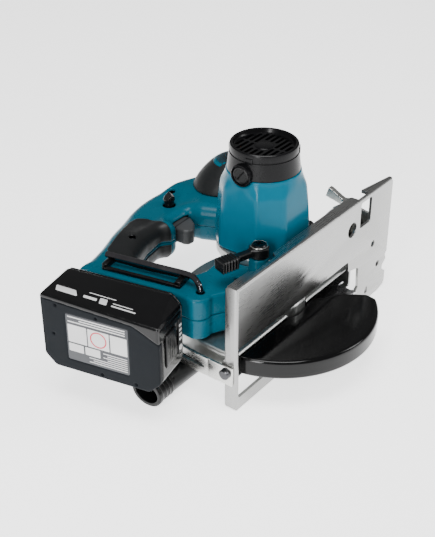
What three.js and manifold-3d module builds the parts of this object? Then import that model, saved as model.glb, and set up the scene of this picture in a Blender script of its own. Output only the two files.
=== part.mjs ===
// Cordless circular saw, lying on its blade side with the motor upright.
// Frame, in millimetres: X is the cutting direction, Y runs from the sole to the handle,
// Z runs along the arbor from the blade side to the motor side.
import * as THREE from 'three';
import { mergeVertices } from 'three/addons/utils/BufferGeometryUtils.js';
import Module from 'manifold-3d';

const wasm = await Module();
wasm.setup();

// ---------------------------------------------------------------- driving dimensions
const GAP = 0.3;
const ARBOR = { x: 101.6, y: 25.5 };
const BLADE = { r: 82.5, z: 41, thickness: 1.2, teeth: 24, bore: 10 };
const GEARS = { distance: 34.1, angle: 65.1, module: 1, pinion: 8, idler: 14, wheel: 38 };
const rad = THREE.MathUtils.degToRad;
const deg = THREE.MathUtils.radToDeg;
const MOTOR = {
  x: ARBOR.x + GEARS.distance * Math.cos(rad(GEARS.angle)),
  y: ARBOR.y + GEARS.distance * Math.sin(rad(GEARS.angle)),
};
const BASE = { length: 259, width: 126, sheet: 3, flange: 12 };
const DEPTH_PIVOT = { x: 219, y: 32 };
const BEVEL_AXIS = { y: 8, z: BLADE.z };
const LOWER_GUARD = { r: 92, wall: 2, z0: 31.5, z1: 50, front: -47, rear: -184 };
const UPPER_GUARD = { r: 97, wall: 2.3, z0: 28, z1: 53.7, floor: 5 };
const GEAR_CASE = { z0: 54, z1: 104, low: 22.2, high: 36, wall: 2, flange: 42.5 };
const HOUSING = { z0: 104.3, z1: 176, bore: 30 };
const END_COVER = { z0: 176.3, z1: 200.5, r: 30.3, skirt: 33 };
const SHELL = { z0: 56.5, split: 77, z1: 97.5, round: 9, wall: 3 };
// the battery's own frame leans by tilt: label, rail and top are depths, near is where its length starts
const BATTERY = { tilt: 12.5, length: 113, width: 75, near: 48, label: -47.7, rail: -5, top: 9, z0: 36 };
const CELL = { r: 9.1, pitch: 19, rows: 5, layers: [-33.2, -14.9] };
const LEVER = { x: 70, y: 27.5, z0: 116, z1: 126, length: 38, angle: 162.4 };
const SHAFT_LOCK = { y: 38, z: 99, r: 4.6, x0: 146.5, x1: 171 };
const CAP = { r: 7.4, z: 180.5, near: 27, far: 35.5 };

// ---------------------------------------------------------------- finishes
const finish = (color, roughness, metalness = 0) =>
  new THREE.MeshStandardMaterial({ color, roughness, metalness });
const TEAL = finish(0x06708a, 0.35);
const BLACK = finish(0x17191b, 0.45);
const RUBBER = finish(0x2a2d2f, 0.8);
const GREY = finish(0x5a5d5f, 0.6);
const SILVER = finish(0xb8b8b4, 0.35, 0.9);
const CAST = finish(0xa9aca6, 0.5, 0.7);
const STEEL = finish(0x8a8c8e, 0.3, 0.95);
const DARK_STEEL = finish(0x3a3a3e, 0.35, 0.9);
const COPPER = finish(0xb06a3a, 0.4, 0.8);
const CLEAR = finish(0xe8e8e0, 0.2);

// ---------------------------------------------------------------- solids
function solid(geometry) {
  const bare = geometry.index ? geometry.toNonIndexed() : geometry.clone();
  bare.deleteAttribute('normal');
  bare.deleteAttribute('uv');
  const welded = mergeVertices(bare, 1e-4);
  return new wasm.Manifold(new wasm.Mesh({
    numProp: 3,
    vertProperties: new Float32Array(welded.attributes.position.array),
    triVerts: new Uint32Array(welded.index.array),
  }));
}

const join = (...solids) => solids.reduce((a, b) => a.add(b));
const cut = (body, ...tools) => tools.reduce((a, b) => a.subtract(b), body);

function box(x0, y0, z0, x1, y1, z1) {
  const g = new THREE.BoxGeometry(x1 - x0, y1 - y0, z1 - z0);
  g.translate((x0 + x1) / 2, (y0 + y1) / 2, (z0 + z1) / 2);
  return solid(g);
}

// a rod along Z, or along X or Y, from a to b, centred on the two other coordinates
function rod(axis, p, q, r, a, b, sides = 24) {
  const g = new THREE.CylinderGeometry(r, r, b - a, sides);
  if (axis === 'x') {
    g.rotateZ(Math.PI / 2);
    g.translate((a + b) / 2, p, q);
  } else if (axis === 'y') {
    g.translate(p, (a + b) / 2, q);
  } else {
    g.rotateX(Math.PI / 2);
    g.translate(p, q, (a + b) / 2);
  }
  return solid(g);
}

// a turned piece about a Z axis through x, y; profile is [radius, z] pairs
function turned(x, y, profile, sides = 32) {
  const pts = profile.map(([r, z]) => new THREE.Vector2(r, z));
  const g = new THREE.LatheGeometry(pts, sides);
  g.rotateX(Math.PI / 2);
  g.translate(x, y, 0);
  return solid(g);
}

function tube(x, y, rOut, rIn, z0, z1, sides = 32) {
  return cut(rod('z', x, y, rOut, z0, z1, sides), rod('z', x, y, rIn, z0 - 1, z1 + 1, sides));
}

// an outline in the X-Y plane raised from z0 to z1, with optional rounded rims
function plate(outline, z0, z1, round = 0, steps = 2) {
  const shape = outline instanceof THREE.Shape ? outline
    : new THREE.Shape(outline.map(([x, y]) => new THREE.Vector2(x, y)));
  const g = new THREE.ExtrudeGeometry(shape, {
    depth: z1 - z0 - 2 * round,
    bevelEnabled: round > 0,
    bevelThickness: round,
    bevelSize: round,
    bevelOffset: -round,
    bevelSegments: steps,
    curveSegments: 6,
  });
  g.translate(0, 0, z0 + round);
  return solid(g);
}

// an outline in the Y-Z plane, thick along X from x0 to x1
function sheetX(outline, x0, x1) {
  const shape = new THREE.Shape(outline.map(([y, z]) => new THREE.Vector2(y, z)));
  const g = new THREE.ExtrudeGeometry(shape, { depth: x1 - x0, bevelEnabled: false });
  g.rotateZ(Math.PI / 2);
  g.rotateY(Math.PI / 2);
  g.translate(x0, 0, 0);
  return solid(g);
}

// an outline in the X-Z plane, thick along Y from y0 to y1
function sheetY(outline, y0, y1) {
  const shape = new THREE.Shape(outline.map(([x, z]) => new THREE.Vector2(x, -z)));
  const g = new THREE.ExtrudeGeometry(shape, { depth: y1 - y0, bevelEnabled: false });
  g.rotateX(-Math.PI / 2);
  g.translate(0, y0, 0);
  return solid(g);
}

const polar = (r, angle, c = ARBOR) => [c.x + r * Math.cos(rad(angle)), c.y + r * Math.sin(rad(angle))];

function arcPoints(c, r, from, to, steps) {
  return Array.from({ length: steps + 1 }, (_, i) => polar(r, from + (to - from) * i / steps, c));
}

// a closed body through rings of equal point count; each ring is a list of [x, y, z]
function loft(rings) {
  const n = rings[0].length;
  const middle = (ring) => ring.reduce((s, p) => s.map((v, k) => v + p[k] / n), [0, 0, 0]);
  const pts = [...rings.flat(), middle(rings[0]), middle(rings[rings.length - 1])];
  const faces = [];
  for (let k = 0; k + 1 < rings.length; k++) {
    for (let i = 0; i < n; i++) {
      const a = k * n + i;
      const b = k * n + (i + 1) % n;
      faces.push(a, b, b + n, a, b + n, a + n);
    }
  }
  const low = rings.length * n;
  const top = (rings.length - 1) * n;
  for (let i = 0; i < n; i++) {
    faces.push(low, (i + 1) % n, i, low + 1, top + i, top + (i + 1) % n);
  }
  const g = new THREE.BufferGeometry();
  g.setAttribute('position', new THREE.Float32BufferAttribute(pts.flat(), 3));
  g.setIndex(faces);
  return solid(g);
}

// ---------------------------------------------------------------- the scene graph
const group = new THREE.Group();

function add(name, material, body) {
  const mesh = body.getMesh();
  const g = new THREE.BufferGeometry();
  g.setAttribute('position', new THREE.BufferAttribute(new Float32Array(mesh.vertProperties), 3));
  g.setIndex(new THREE.BufferAttribute(new Uint32Array(mesh.triVerts), 1));
  g.computeVertexNormals();
  const node = new THREE.Mesh(g, material);
  node.name = name;
  group.add(node);
}

// ---------------------------------------------------------------- gears and spindle
const pitchRadius = (teeth) => GEARS.module * teeth / 2;

function gear(c, teeth, z0, z1, bore, phase) {
  const pitch = pitchRadius(teeth);
  const rim = pitch + 0.6 * GEARS.module;
  const root = pitch - 1.15 * GEARS.module;
  const step = 360 / teeth;
  const points = [];
  for (let i = 0; i < teeth; i++) {
    const a = phase + i * step;
    points.push(polar(root, a - 0.24 * step, c), polar(rim, a - 0.1 * step, c));
    points.push(polar(rim, a + 0.1 * step, c), polar(root, a + 0.24 * step, c));
  }
  return cut(plate(points, z0, z1), rod('z', c.x, c.y, bore, z0 - 1, z1 + 1, 16));
}

// the idler stands where it meshes with both the spindle's wheel and the motor's pinion
const reach = pitchRadius(GEARS.wheel) + pitchRadius(GEARS.idler);
const span = pitchRadius(GEARS.idler) + pitchRadius(GEARS.pinion);
const lean = Math.acos((reach ** 2 + GEARS.distance ** 2 - span ** 2) / (2 * reach * GEARS.distance));
const wheelToIdler = GEARS.angle + deg(lean);
const [idlerX, idlerY] = polar(reach, wheelToIdler);
const IDLER = { x: idlerX, y: idlerY };
const idlerToPinion = deg(Math.atan2(MOTOR.y - IDLER.y, MOTOR.x - IDLER.x));
const idlerPhase = wheelToIdler + 180;
const pinionPhase = idlerToPinion + 180
  - (GEARS.idler * (idlerPhase - idlerToPinion) + 180) / GEARS.pinion;

const GEAR_Z = { z0: 70, z1: 80 };
add('drive_gear', STEEL, gear(ARBOR, GEARS.wheel, GEAR_Z.z0, GEAR_Z.z1, 8.3,
  wheelToIdler + 180 / GEARS.wheel));
add('idler_gear', STEEL, gear(IDLER, GEARS.idler, GEAR_Z.z0 - 1, GEAR_Z.z1 + 1, 2.8, idlerPhase));
add('idler_pin', STEEL, rod('z', IDLER.x, IDLER.y, 2.5, 60, 93.5, 12));
add('motor_pinion', STEEL, gear(MOTOR, GEARS.pinion, GEAR_Z.z0 - 2, GEAR_Z.z1 + 2, 2.3, pinionPhase));
add('spindle', STEEL, cut(
  turned(ARBOR.x, ARBOR.y,
    [[0, 42.2], [6, 42.2], [6, 66], [8, 66], [8, 84], [6, 84], [6, 94], [0, 94]], 24),
  rod('z', ARBOR.x, ARBOR.y, 4.3, 41, 60, 12)));
add('inner_flange', STEEL, turned(ARBOR.x, ARBOR.y,
  [[6.3, 40], [9.7, 40], [9.7, 42], [17, 42], [17, 45], [10, 47.5], [6.3, 47.5], [6.3, 40]]));
add('outer_flange', STEEL, turned(ARBOR.x, ARBOR.y,
  [[4.5, 34], [12, 34], [17, 37.5], [17, 39.9], [10.5, 39.9], [10.5, 39.6], [4.5, 39.6], [4.5, 34]]));
add('blade_bolt', DARK_STEEL, cut(
  join(rod('z', ARBOR.x, ARBOR.y, 8, 27.5, 33.7, 16), rod('z', ARBOR.x, ARBOR.y, 4, 33, 58, 12)),
  rod('z', ARBOR.x, ARBOR.y, 2.9, 27, 31, 6)));

function bladeOutline() {
  const points = [];
  const step = 360 / BLADE.teeth;
  for (let i = 0; i < BLADE.teeth; i++) {
    const a = i * step;
    points.push(polar(BLADE.r, a), polar(BLADE.r - 1.2, a + 0.22 * step));
    points.push(polar(BLADE.r - 3.5, a + 0.5 * step), polar(BLADE.r - 8, a + 0.82 * step));
    points.push(polar(BLADE.r - 7.2, a + 0.95 * step));
  }
  return points;
}
const bladeZ0 = BLADE.z - BLADE.thickness / 2;
const bladeZ1 = BLADE.z + BLADE.thickness / 2;
const expansionSlots = Array.from({ length: 4 }, (_, i) => {
  const slot = new THREE.BoxGeometry(16, 1.2, 6);
  slot.translate(BLADE.r - 12, 0, 0);
  slot.rotateZ(rad(90 * i + 12));
  slot.translate(ARBOR.x, ARBOR.y, BLADE.z);
  return solid(slot);
});
add('saw_blade', DARK_STEEL, cut(plate(bladeOutline(), bladeZ0, bladeZ1),
  rod('z', ARBOR.x, ARBOR.y, BLADE.bore, 30, 50, 24), ...expansionSlots));

add('spindle_bearing_front', STEEL, tube(ARBOR.x, ARBOR.y, 14, 6.3, 57.3, 64.5, 20));
add('spindle_bearing_rear', STEEL, tube(ARBOR.x, ARBOR.y, 10.7, 6.3, 86, 92.5, 20));

// ---------------------------------------------------------------- armature
add('motor_shaft', STEEL, rod('z', MOTOR.x, MOTOR.y, 2, 67.4, 195, 12));
const slots = Array.from({ length: 10 }, (_, i) => {
  const g = new THREE.BoxGeometry(7, 2.2, 60);
  g.translate(16.5, 0, 0);
  g.rotateZ(rad(36 * i));
  g.translate(MOTOR.x, MOTOR.y, 145);
  return solid(g);
});
add('armature_core', COPPER, cut(tube(MOTOR.x, MOTOR.y, 17.5, 2.3, 124, 166, 20), ...slots));
add('commutator', COPPER, tube(MOTOR.x, MOTOR.y, 9.5, 2.3, CAP.z - 6, CAP.z + 6, 20));
add('cooling_fan', BLACK, join(tube(MOTOR.x, MOTOR.y, 25, 2.3, 108, 109.6, 24),
  tube(MOTOR.x, MOTOR.y, 6, 2.3, 108, 116, 16),
  ...Array.from({ length: 10 }, (_, i) => {
    const g = new THREE.BoxGeometry(18, 1.2, 7);
    g.translate(15.5, 0, 0);
    g.rotateZ(rad(36 * i));
    g.translate(MOTOR.x, MOTOR.y, 112.6);
    return solid(g);
  })));
add('motor_bearing_lower', STEEL, tube(MOTOR.x, MOTOR.y, 8, 2.3, 97.5, 103, 16));
add('motor_bearing_upper', STEEL, tube(MOTOR.x, MOTOR.y, 6.5, 2.3, 191, 195.4, 16));

// ---------------------------------------------------------------- motor field, brushes
add('motor_yoke', DARK_STEEL, tube(MOTOR.x, MOTOR.y, 26.5, 24.3, 119, 171, 28));
const SIDES = [['front', 1], ['rear', -1]];
const alongX = (side, from, to) => {
  const a = MOTOR.x + side * from;
  const b = MOTOR.x + side * to;
  return [Math.min(a, b), Math.max(a, b)];
};
for (const [end, side] of SIDES) {
  const [magnetFrom, magnetTo] = side > 0 ? [4, 30] : [-30, -4];
  add(`field_magnet_${end}`, GREY, tube(MOTOR.x, MOTOR.y, 24, 18.6, 122, 168, 28).intersect(
    box(MOTOR.x - 16, MOTOR.y + magnetFrom, 120, MOTOR.x + 16, MOTOR.y + magnetTo, 170)));

  const [brushFrom, brushTo] = alongX(side, 10, 24);
  add(`carbon_brush_${end}`, DARK_STEEL,
    box(brushFrom, MOTOR.y - 3, CAP.z - 4, brushTo, MOTOR.y + 3, CAP.z + 4));

  const [capFrom, capTo] = alongX(side, CAP.near, CAP.far);
  const [slotFrom, slotTo] = alongX(side, CAP.far - 1.6, CAP.far + 1);
  add(`brush_cap_${end}`, BLACK, cut(rod('x', MOTOR.y, CAP.z, CAP.r, capFrom, capTo, 20),
    box(slotFrom, MOTOR.y - 0.8, CAP.z - 5, slotTo, MOTOR.y + 0.8, CAP.z + 5)));
}

// ---------------------------------------------------------------- motor housing
// an eight-sided section with rounded corners: wide flats across X and Y, narrow ones between
function housingRing(r, z, roundness) {
  const ring = [];
  for (let quarter = 0; quarter < 4; quarter++) {
    for (const corner of [29, 61]) {
      for (const swing of [-9, 0, 9]) {
        const a = quarter * 90 + corner + swing;
        const pull = swing === 0 ? 1 : 1 - 0.03 * (1 - roundness);
        ring.push([MOTOR.x + r * pull * Math.cos(rad(a)), MOTOR.y + r * pull * Math.sin(rad(a)), z]);
      }
    }
  }
  return ring;
}
const capPockets = SIDES.map(([, side]) => {
  const [a, b] = alongX(side, CAP.near - 2.5, 50);
  return rod('x', MOTOR.y, CAP.z, CAP.r + 0.6, a, b, 20);
});
add('motor_housing', TEAL, cut(
  loft([housingRing(43, HOUSING.z0, 0), housingRing(42.5, 122, 0), housingRing(39.5, 158, 0),
    housingRing(37.3, 168, 0.5), housingRing(34.2, HOUSING.z1, 1)]),
  rod('z', MOTOR.x, MOTOR.y, HOUSING.bore, HOUSING.z0 - 1, HOUSING.z1 + 1, 32),
  ...capPockets));

// ---------------------------------------------------------------- end cover with its grille
const grille = [];
for (let row = -4; row <= 4; row++) {
  const y = MOTOR.y + row * 5.4;
  const half = Math.sqrt(25.5 ** 2 - (row * 5.4) ** 2) - 1;
  const inner = Math.abs(row) < 2 ? 9.5 : 1.2;
  for (const side of [1, -1]) {
    const [a, b] = alongX(side, inner, half);
    grille.push(box(a, y - 1.6, 190, b, y + 1.6, 205));
  }
}
const coverTop = END_COVER.z1;
add('motor_end_cover', BLACK, cut(
  turned(MOTOR.x, MOTOR.y,
    [[0, END_COVER.z0], [END_COVER.skirt, END_COVER.z0], [31.4, 190], [END_COVER.r + 0.6, 194],
      [END_COVER.r + 0.6, coverTop - 1], [END_COVER.r - 0.6, coverTop], [27.6, coverTop],
      [26.8, coverTop - 4], [0, coverTop - 4]], 36),
  rod('z', MOTOR.x, MOTOR.y, 27.5, END_COVER.z0 - 1, 193.6, 32),
  rod('z', MOTOR.x, MOTOR.y, 6.8, 190, 195.7, 20),
  ...grille, ...capPockets));

// ---------------------------------------------------------------- gear housing
const caseOutline = (grow) => {
  const low = arcPoints(ARBOR, GEAR_CASE.low + grow, 170, 315, 12);
  const high = arcPoints(MOTOR, GEAR_CASE.high + grow, -15, 145, 12);
  return [...low, ...high];
};
const nose = [[108, 12], [DEPTH_PIVOT.x, DEPTH_PIVOT.y - 8],
  ...arcPoints(DEPTH_PIVOT, 8, -80, 80, 5), [120, 56]];
add('gear_housing', CAST, cut(
  join(plate(caseOutline(0), GEAR_CASE.z0, 94),
    rod('z', MOTOR.x, MOTOR.y, GEAR_CASE.flange, 94, GEAR_CASE.z1, 36),
    tube(ARBOR.x, ARBOR.y, 24, 19, 46.5, GEAR_CASE.z0 + 1, 32),
    plate(nose, 62, 80)),
  plate(caseOutline(-GEAR_CASE.wall), 67, 91),
  rod('z', ARBOR.x, ARBOR.y, 14.3, 57, 67, 24), rod('z', ARBOR.x, ARBOR.y, 9, 45, 67, 24),
  rod('z', ARBOR.x, ARBOR.y, 11, 85, 93, 24), rod('z', ARBOR.x, ARBOR.y, 6.4, 85, 94.5, 24),
  rod('z', MOTOR.x, MOTOR.y, 8.3, 90, 104.5, 24), rod('z', MOTOR.x, MOTOR.y, 28, 104 - 0.5, 106, 24),
  rod('z', DEPTH_PIVOT.x, DEPTH_PIVOT.y, 4.3, 60, 82, 16),
  rod('z', IDLER.x, IDLER.y, 2.8, 59.5, 94, 12),
  rod('x', SHAFT_LOCK.y, SHAFT_LOCK.z, 3.4, 138, 160, 16)));

// ---------------------------------------------------------------- blade guards
function sectorBand(rOut, rIn, from, to, z0, z1, steps = 24) {
  const outside = arcPoints(ARBOR, rOut, from, to, steps);
  return plate([...outside, ...arcPoints(ARBOR, rIn, to, from, steps)], z0, z1);
}

const G = LOWER_GUARD;
const guardFace = (rOut, hub) => new THREE.Shape([
  ...arcPoints(ARBOR, rOut, G.rear + 360, G.front + 360, 24),
  [rOut === G.r ? 165.5 : 162.5, -31], [153, -12], [133, 2], ...arcPoints(ARBOR, hub, -20, 100, 8),
  ...arcPoints(ARBOR, hub, 110, 172, 5), [40, 26],
].map(([x, y]) => new THREE.Vector2(x, y)));
add('lower_guard', BLACK, cut(
  join(cut(plate(guardFace(G.r, 33), G.z0, G.z1),
    plate(guardFace(G.r - G.wall, 40), G.z0 + G.wall, G.z1 - G.wall),
    rod('z', ARBOR.x, ARBOR.y, BLADE.r + 2, G.z0 + G.wall, G.z1 - G.wall, 48)),
  sectorBand(G.r + 3, G.r - 1, G.front - 5, G.front, 34, 47.5, 2)),
  rod('z', ARBOR.x, ARBOR.y, 24.4, G.z1 - 4, G.z1 + 1, 32),
  rod('z', ARBOR.x, ARBOR.y, 27, G.z0 - 1, G.z1 - 4, 32)));

const LEVER_ARM = { angle: 165, knob: 70, z: 22.5, knobRadius: 7.2 };
const [knobX, knobY] = polar(LEVER_ARM.knob, LEVER_ARM.angle);
const armGeometry = new THREE.BoxGeometry(44, 10, 4.5);
armGeometry.translate(50, 0, 0);
armGeometry.rotateZ(rad(LEVER_ARM.angle));
armGeometry.translate(ARBOR.x, ARBOR.y, LEVER_ARM.z + 2.25);
add('guard_lever', BLACK, join(
  solid(armGeometry), sectorBand(37, 28, 150, 180, LEVER_ARM.z, G.z0 - GAP, 4),
  rod('z', knobX, knobY, LEVER_ARM.knobRadius, 5, LEVER_ARM.z + 4, 16)));
add('guard_spring', STEEL, join(tube(ARBOR.x, ARBOR.y, 27.6, 25.2, 44, 47.6, 24),
  box(ARBOR.x + 24.6, ARBOR.y - 14, 45, ARBOR.x + 26.6, ARBOR.y + 1, 46.6)));

const U = UPPER_GUARD;
add('upper_guard', CAST, cut(rod('z', ARBOR.x, ARBOR.y, U.r, U.z0, U.z1, 48),
  rod('z', ARBOR.x, ARBOR.y, U.r - U.wall, U.z0 + U.wall, U.z1 - U.wall, 48),
  box(-10, -90, 20, 210, U.floor, 60),
  rod('z', ARBOR.x, ARBOR.y, 24.4, U.z1 - 4, U.z1 + 1, 32),
  rod('z', ARBOR.x, ARBOR.y, 40, U.z0 - 1, U.z0 + U.wall + 1, 32),
  box(ARBOR.x - 40, 0, U.z0 - 1, ARBOR.x + 40, ARBOR.y, U.z0 + U.wall + 1),
  box(8, 58, U.z0 - 1, 22, 78, U.z0 + U.wall + 1)));

// ---------------------------------------------------------------- dust nozzle
const NOZZLE = { x0: -40, x1: 10, y: 68, z: 13.5, ry: 16.5, rz: 13.5, wall: 2.2 };
function ovalRod(x0, x1, ry, rz) {
  const g = new THREE.CylinderGeometry(1, 1, x1 - x0, 24);
  g.rotateZ(Math.PI / 2);
  g.scale(1, ry, rz);
  g.translate((x0 + x1) / 2, NOZZLE.y, NOZZLE.z);
  return solid(g);
}
add('dust_nozzle', BLACK, cut(
  join(ovalRod(NOZZLE.x0 + 4, NOZZLE.x1 + 12, NOZZLE.ry - 1.5, NOZZLE.rz - 1.5),
    ovalRod(NOZZLE.x0, NOZZLE.x0 + 5, NOZZLE.ry, NOZZLE.rz),
    box(6, 56, 10, 24, 80, U.z0 - GAP)),
  ovalRod(NOZZLE.x0 - 1, NOZZLE.x1 + 8, NOZZLE.ry - 4, NOZZLE.rz - 4),
  box(9, 59, 12, 21, 77, U.z0 + 1)));

// ---------------------------------------------------------------- base
const OPENING = [[4, 13], [4, 65], [181, 65], [182.5, 53.5], [202, 49], [204, 26], [190, 13]];
const baseOutline = [[0, 1.5], [1.5, 0], [246, 0], [257, 3], [BASE.length, 7], [BASE.length, 18],
  [252, 23], [252, 28], [BASE.length, 33], [256, 38.5], [BASE.length, 42], [258.5, 122], [254, 126], [0, 126]];
const flangeRear = sheetX([[0, 1.5], [0, 126], [BASE.flange, 124], [BASE.flange, 52], [15, 48], [15, 34],
  [BASE.flange, 30], [BASE.flange, 1.5]], 0, BASE.sheet);
const flangeTop = plate([[0, 0], [196.5, 0], [196.5, 10.5], [190, BASE.flange], [68, BASE.flange],
  [64, 6.5], [34, 6.5], [30, 11], [0, 11]], BASE.width - BASE.sheet, BASE.width);
const flangeFront = plate([[214, 0], [257, 0], [257, 4], [216, 10.5], [214, 10.5]],
  BASE.width - BASE.sheet, BASE.width);
add('base_plate', SILVER, cut(
  join(sheetY(baseOutline, 0, BASE.sheet), flangeRear, flangeTop, flangeFront),
  sheetY(OPENING, -1, 20),
  box(198, -1, 94, 219, 4, 121.5),
  rod('y', 184.3, 99, 6, -1, 4, 20), rod('y', 227.5, 64.4, 2.6, -1, 4, 12),
  rod('y', 240.9, 35, 2.6, -1, 4, 12), box(219, -1, 9, 224, 4, 16.5),
  rod('x', BEVEL_AXIS.y, BEVEL_AXIS.z, 3.4, -1, 4, 16)));

// angle theta is measured about the bevel axis, from +Y towards +Z
const bevelPoint = (r, theta) =>
  [BEVEL_AXIS.y + r * Math.cos(rad(theta)), BEVEL_AXIS.z + r * Math.sin(rad(theta))];
const bevelArc = (r, from, to, steps) =>
  Array.from({ length: steps + 1 }, (_, i) => bevelPoint(r, from + (to - from) * i / steps));
const WING = { r: 56.5, theta: 58.5, x0: 225.5, lever: 27 };
const [wingY, wingZ] = bevelPoint(WING.r, WING.theta);
const SCALE = { x0: 232.3, x1: 235, slot: 3.2 };
add('bevel_scale_plate', SILVER, cut(
  sheetX([[3.4, 28], ...bevelArc(61.5, 0, 66, 10), [3.4, 92]], SCALE.x0, SCALE.x1),
  sheetX([...bevelArc(WING.r + SCALE.slot, 8, 62, 10), ...bevelArc(WING.r - SCALE.slot, 62, 8, 10)],
    SCALE.x0 - 1, SCALE.x1 + 1),
  rod('x', BEVEL_AXIS.y, BEVEL_AXIS.z, 3.4, 230, 238, 16)));

// ---------------------------------------------------------------- depth frame
const P = DEPTH_PIVOT;
const EAR = 9;
const yoke = (z0, z1) =>
  plate([[P.x - 8, P.y - EAR], [231.5, P.y - EAR], [231.5, P.y + EAR], [P.x - 8, P.y + EAR]], z0, z1);
add('front_bracket', DARK_STEEL, cut(
  join(yoke(58.7, 61.7), yoke(80.3, 83.3),
    sheetX([[9, 34.6], [4, 39.2], [4, 50], [18, 84], [40, 95], [50, 88], [48, 78], [P.y + EAR, 58.7],
      [14, 34]], 229, 232)),
  rod('z', P.x, P.y, 4.3, 50, 90, 16),
  rod('x', wingY, wingZ, 3.3, 226, 236, 16),
  rod('x', BEVEL_AXIS.y, BEVEL_AXIS.z, 3.4, 226, 236, 16)));
add('depth_pivot_pin', STEEL, join(
  rod('z', P.x, P.y, 4, 56, 87, 16), rod('z', P.x, P.y, 6.5, 54.5, 58.4, 16)));
add('bevel_pin_front', STEEL, join(
  rod('x', BEVEL_AXIS.y, BEVEL_AXIS.z, 3, 226, 238, 16),
  rod('x', BEVEL_AXIS.y, BEVEL_AXIS.z, 4, 235.3, 239, 16)));
add('bevel_pin_rear', STEEL, join(
  rod('x', BEVEL_AXIS.y, BEVEL_AXIS.z, 3, -8, 5, 16),
  rod('x', BEVEL_AXIS.y, BEVEL_AXIS.z, 5, -8, -3.6, 16)));

const GUIDE = { inner: P.x + GAP, outer: P.x + 3.3, z0: 28.3, z1: 47 };
const guideBand = (r0, r1, from, to, z0, z1, steps) =>
  plate([...arcPoints(P, r1, from, to, steps), ...arcPoints(P, r0, to, from, steps)], z0, z1);
add('depth_guide', CAST, cut(
  join(guideBand(GUIDE.inner, GUIDE.outer, 161, 181.6, GUIDE.z0, GUIDE.z1, 14),
    box(P.x - GUIDE.outer, 2, GUIDE.z0, P.x - GUIDE.inner, 27, GUIDE.z1)),
  guideBand(GUIDE.inner - 5, GUIDE.outer + 5, 163.5, 180, 35.5, 40, 10),
  rod('x', BEVEL_AXIS.y, BEVEL_AXIS.z, 3.4, -8, 6, 16)));

const leverArm = new THREE.BoxGeometry(5, WING.lever, 8);
leverArm.translate(0, WING.lever / 2, 0);
leverArm.rotateX(rad(17));
leverArm.translate(242, wingY, wingZ);
add('bevel_lever', SILVER, join(rod('x', wingY, wingZ, 3, WING.x0, 240, 16),
  rod('x', wingY, wingZ, 6.5, 235.4, 246, 16), solid(leverArm)));

// ---------------------------------------------------------------- housing and handle shells
const TILT = rad(BATTERY.tilt);
// battery frame: d is the depth away from its label face, s runs up its length
const fromBattery = (d, s) =>
  [d * Math.cos(TILT) - s * Math.sin(TILT), d * Math.sin(TILT) + s * Math.cos(TILT)];
function inBatteryFrame(body) {
  const turn = new THREE.Matrix4().makeRotationZ(TILT);
  const mesh = body.getMesh();
  const g = new THREE.BufferGeometry();
  g.setAttribute('position', new THREE.BufferAttribute(new Float32Array(mesh.vertProperties), 3));
  g.setIndex(new THREE.BufferAttribute(new Uint32Array(mesh.triVerts), 1));
  g.applyMatrix4(turn);
  return solid(g);
}

const spline = (points, steps) => new THREE.SplineCurve(points.map(([x, y]) => new THREE.Vector2(x, y)))
  .getSpacedPoints(steps).map((p) => [p.x, p.y]);
const HOLDER = 16;
const outer = [
  ...arcPoints({ x: 13, y: 52 }, 14, 205, 285, 3),
  [40, 26], [62, 16], [84, 14], [100, 20], [150, 60],
  ...spline([[196, 96], [218, 124], [226, 152], [216, 180], [190, 196], [160, 206], [130, 209], [98, 204],
    [62, 190], [22, 174], [-8, 166]], 16),
  fromBattery(HOLDER - 3, 160), fromBattery(HOLDER, 70),
];
const fingerGap = [
  [30, 74], [46, 68], [56, 72], [68, 70], [90, 84], [128, 94], [139, 110], [142, 126], [134, 144],
  [132, 157], [105, 157], [103, 145], [91, 145], [84, 153], [60, 149], [36, 140], [20, 126],
];
function outlineWithGap(rim, gap) {
  const shape = new THREE.Shape(rim.map(([x, y]) => new THREE.Vector2(x, y)));
  shape.holes.push(new THREE.Path(gap.map(([x, y]) => new THREE.Vector2(x, y))));
  return shape;
}
// every point of an outline moved sideways by d, along the mean normal of its two edges
function shifted(points, d, closed = true) {
  const n = points.length;
  return points.map(([x, y], i) => {
    const [px, py] = points[closed ? (i + n - 1) % n : Math.max(i - 1, 0)];
    const [qx, qy] = points[closed ? (i + 1) % n : Math.min(i + 1, n - 1)];
    const length = Math.hypot(qx - px, qy - py);
    return [x - d * (qy - py) / length, y + d * (qx - px) / length];
  });
}
// a strip of even width along an open path
const ribbon = (path, half) => [...shifted(path, -half, false), ...shifted(path, half, false).reverse()];
const wholeShell = plate(outlineWithGap(outer, fingerGap), SHELL.z0, SHELL.z1, SHELL.round, 2);
const handlePath = spline([[16, 62], [6, 100], [0, 140], [28, 162], [64, 171], [100, 180], [140, 184],
  [180, 176], [200, 150], [190, 122], [168, 104]], 22);
const hollow = plate(ribbon(handlePath, 11.5), SHELL.z0 + SHELL.wall, SHELL.z1 - SHELL.wall);
const sideHollow = plate([[22, 46], [45, 34], [62, 26], [66, 40], [62, 60], [46, 58], [26, 62]],
  SHELL.z0 + SHELL.wall, SHELL.z1 - SHELL.wall);
const motorRoom = rod('z', MOTOR.x, MOTOR.y, GEAR_CASE.flange + 0.6, 50, 110, 36);
const TRIGGER = { x0: 105.5, x1: 131, y0: 136, y1: 163, z0: 68.5, z1: 85.5 };
const triggerSlot = box(TRIGGER.x0 - 0.5, 150, TRIGGER.z0 - 0.5, TRIGGER.x1 + 0.5, 172, TRIGGER.z1 + 0.5);
const LOCK = { x: 128, y: 178, r: 5.6 };
const WRENCH = { d: 33, s0: 62, s1: 142, z: 107.2, r: 2.9 };
const [wrenchX, wrenchY] = fromBattery(26.2, 45.5);
const boss = rod('z', LEVER.x, LEVER.y, 9, 90, LEVER.z0 - GAP, 20);
const shellCuts = [motorRoom, plate(caseOutline(0.6), 50, 110), plate(shifted(nose, -0.6), 61, 81),
  triggerSlot];
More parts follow.
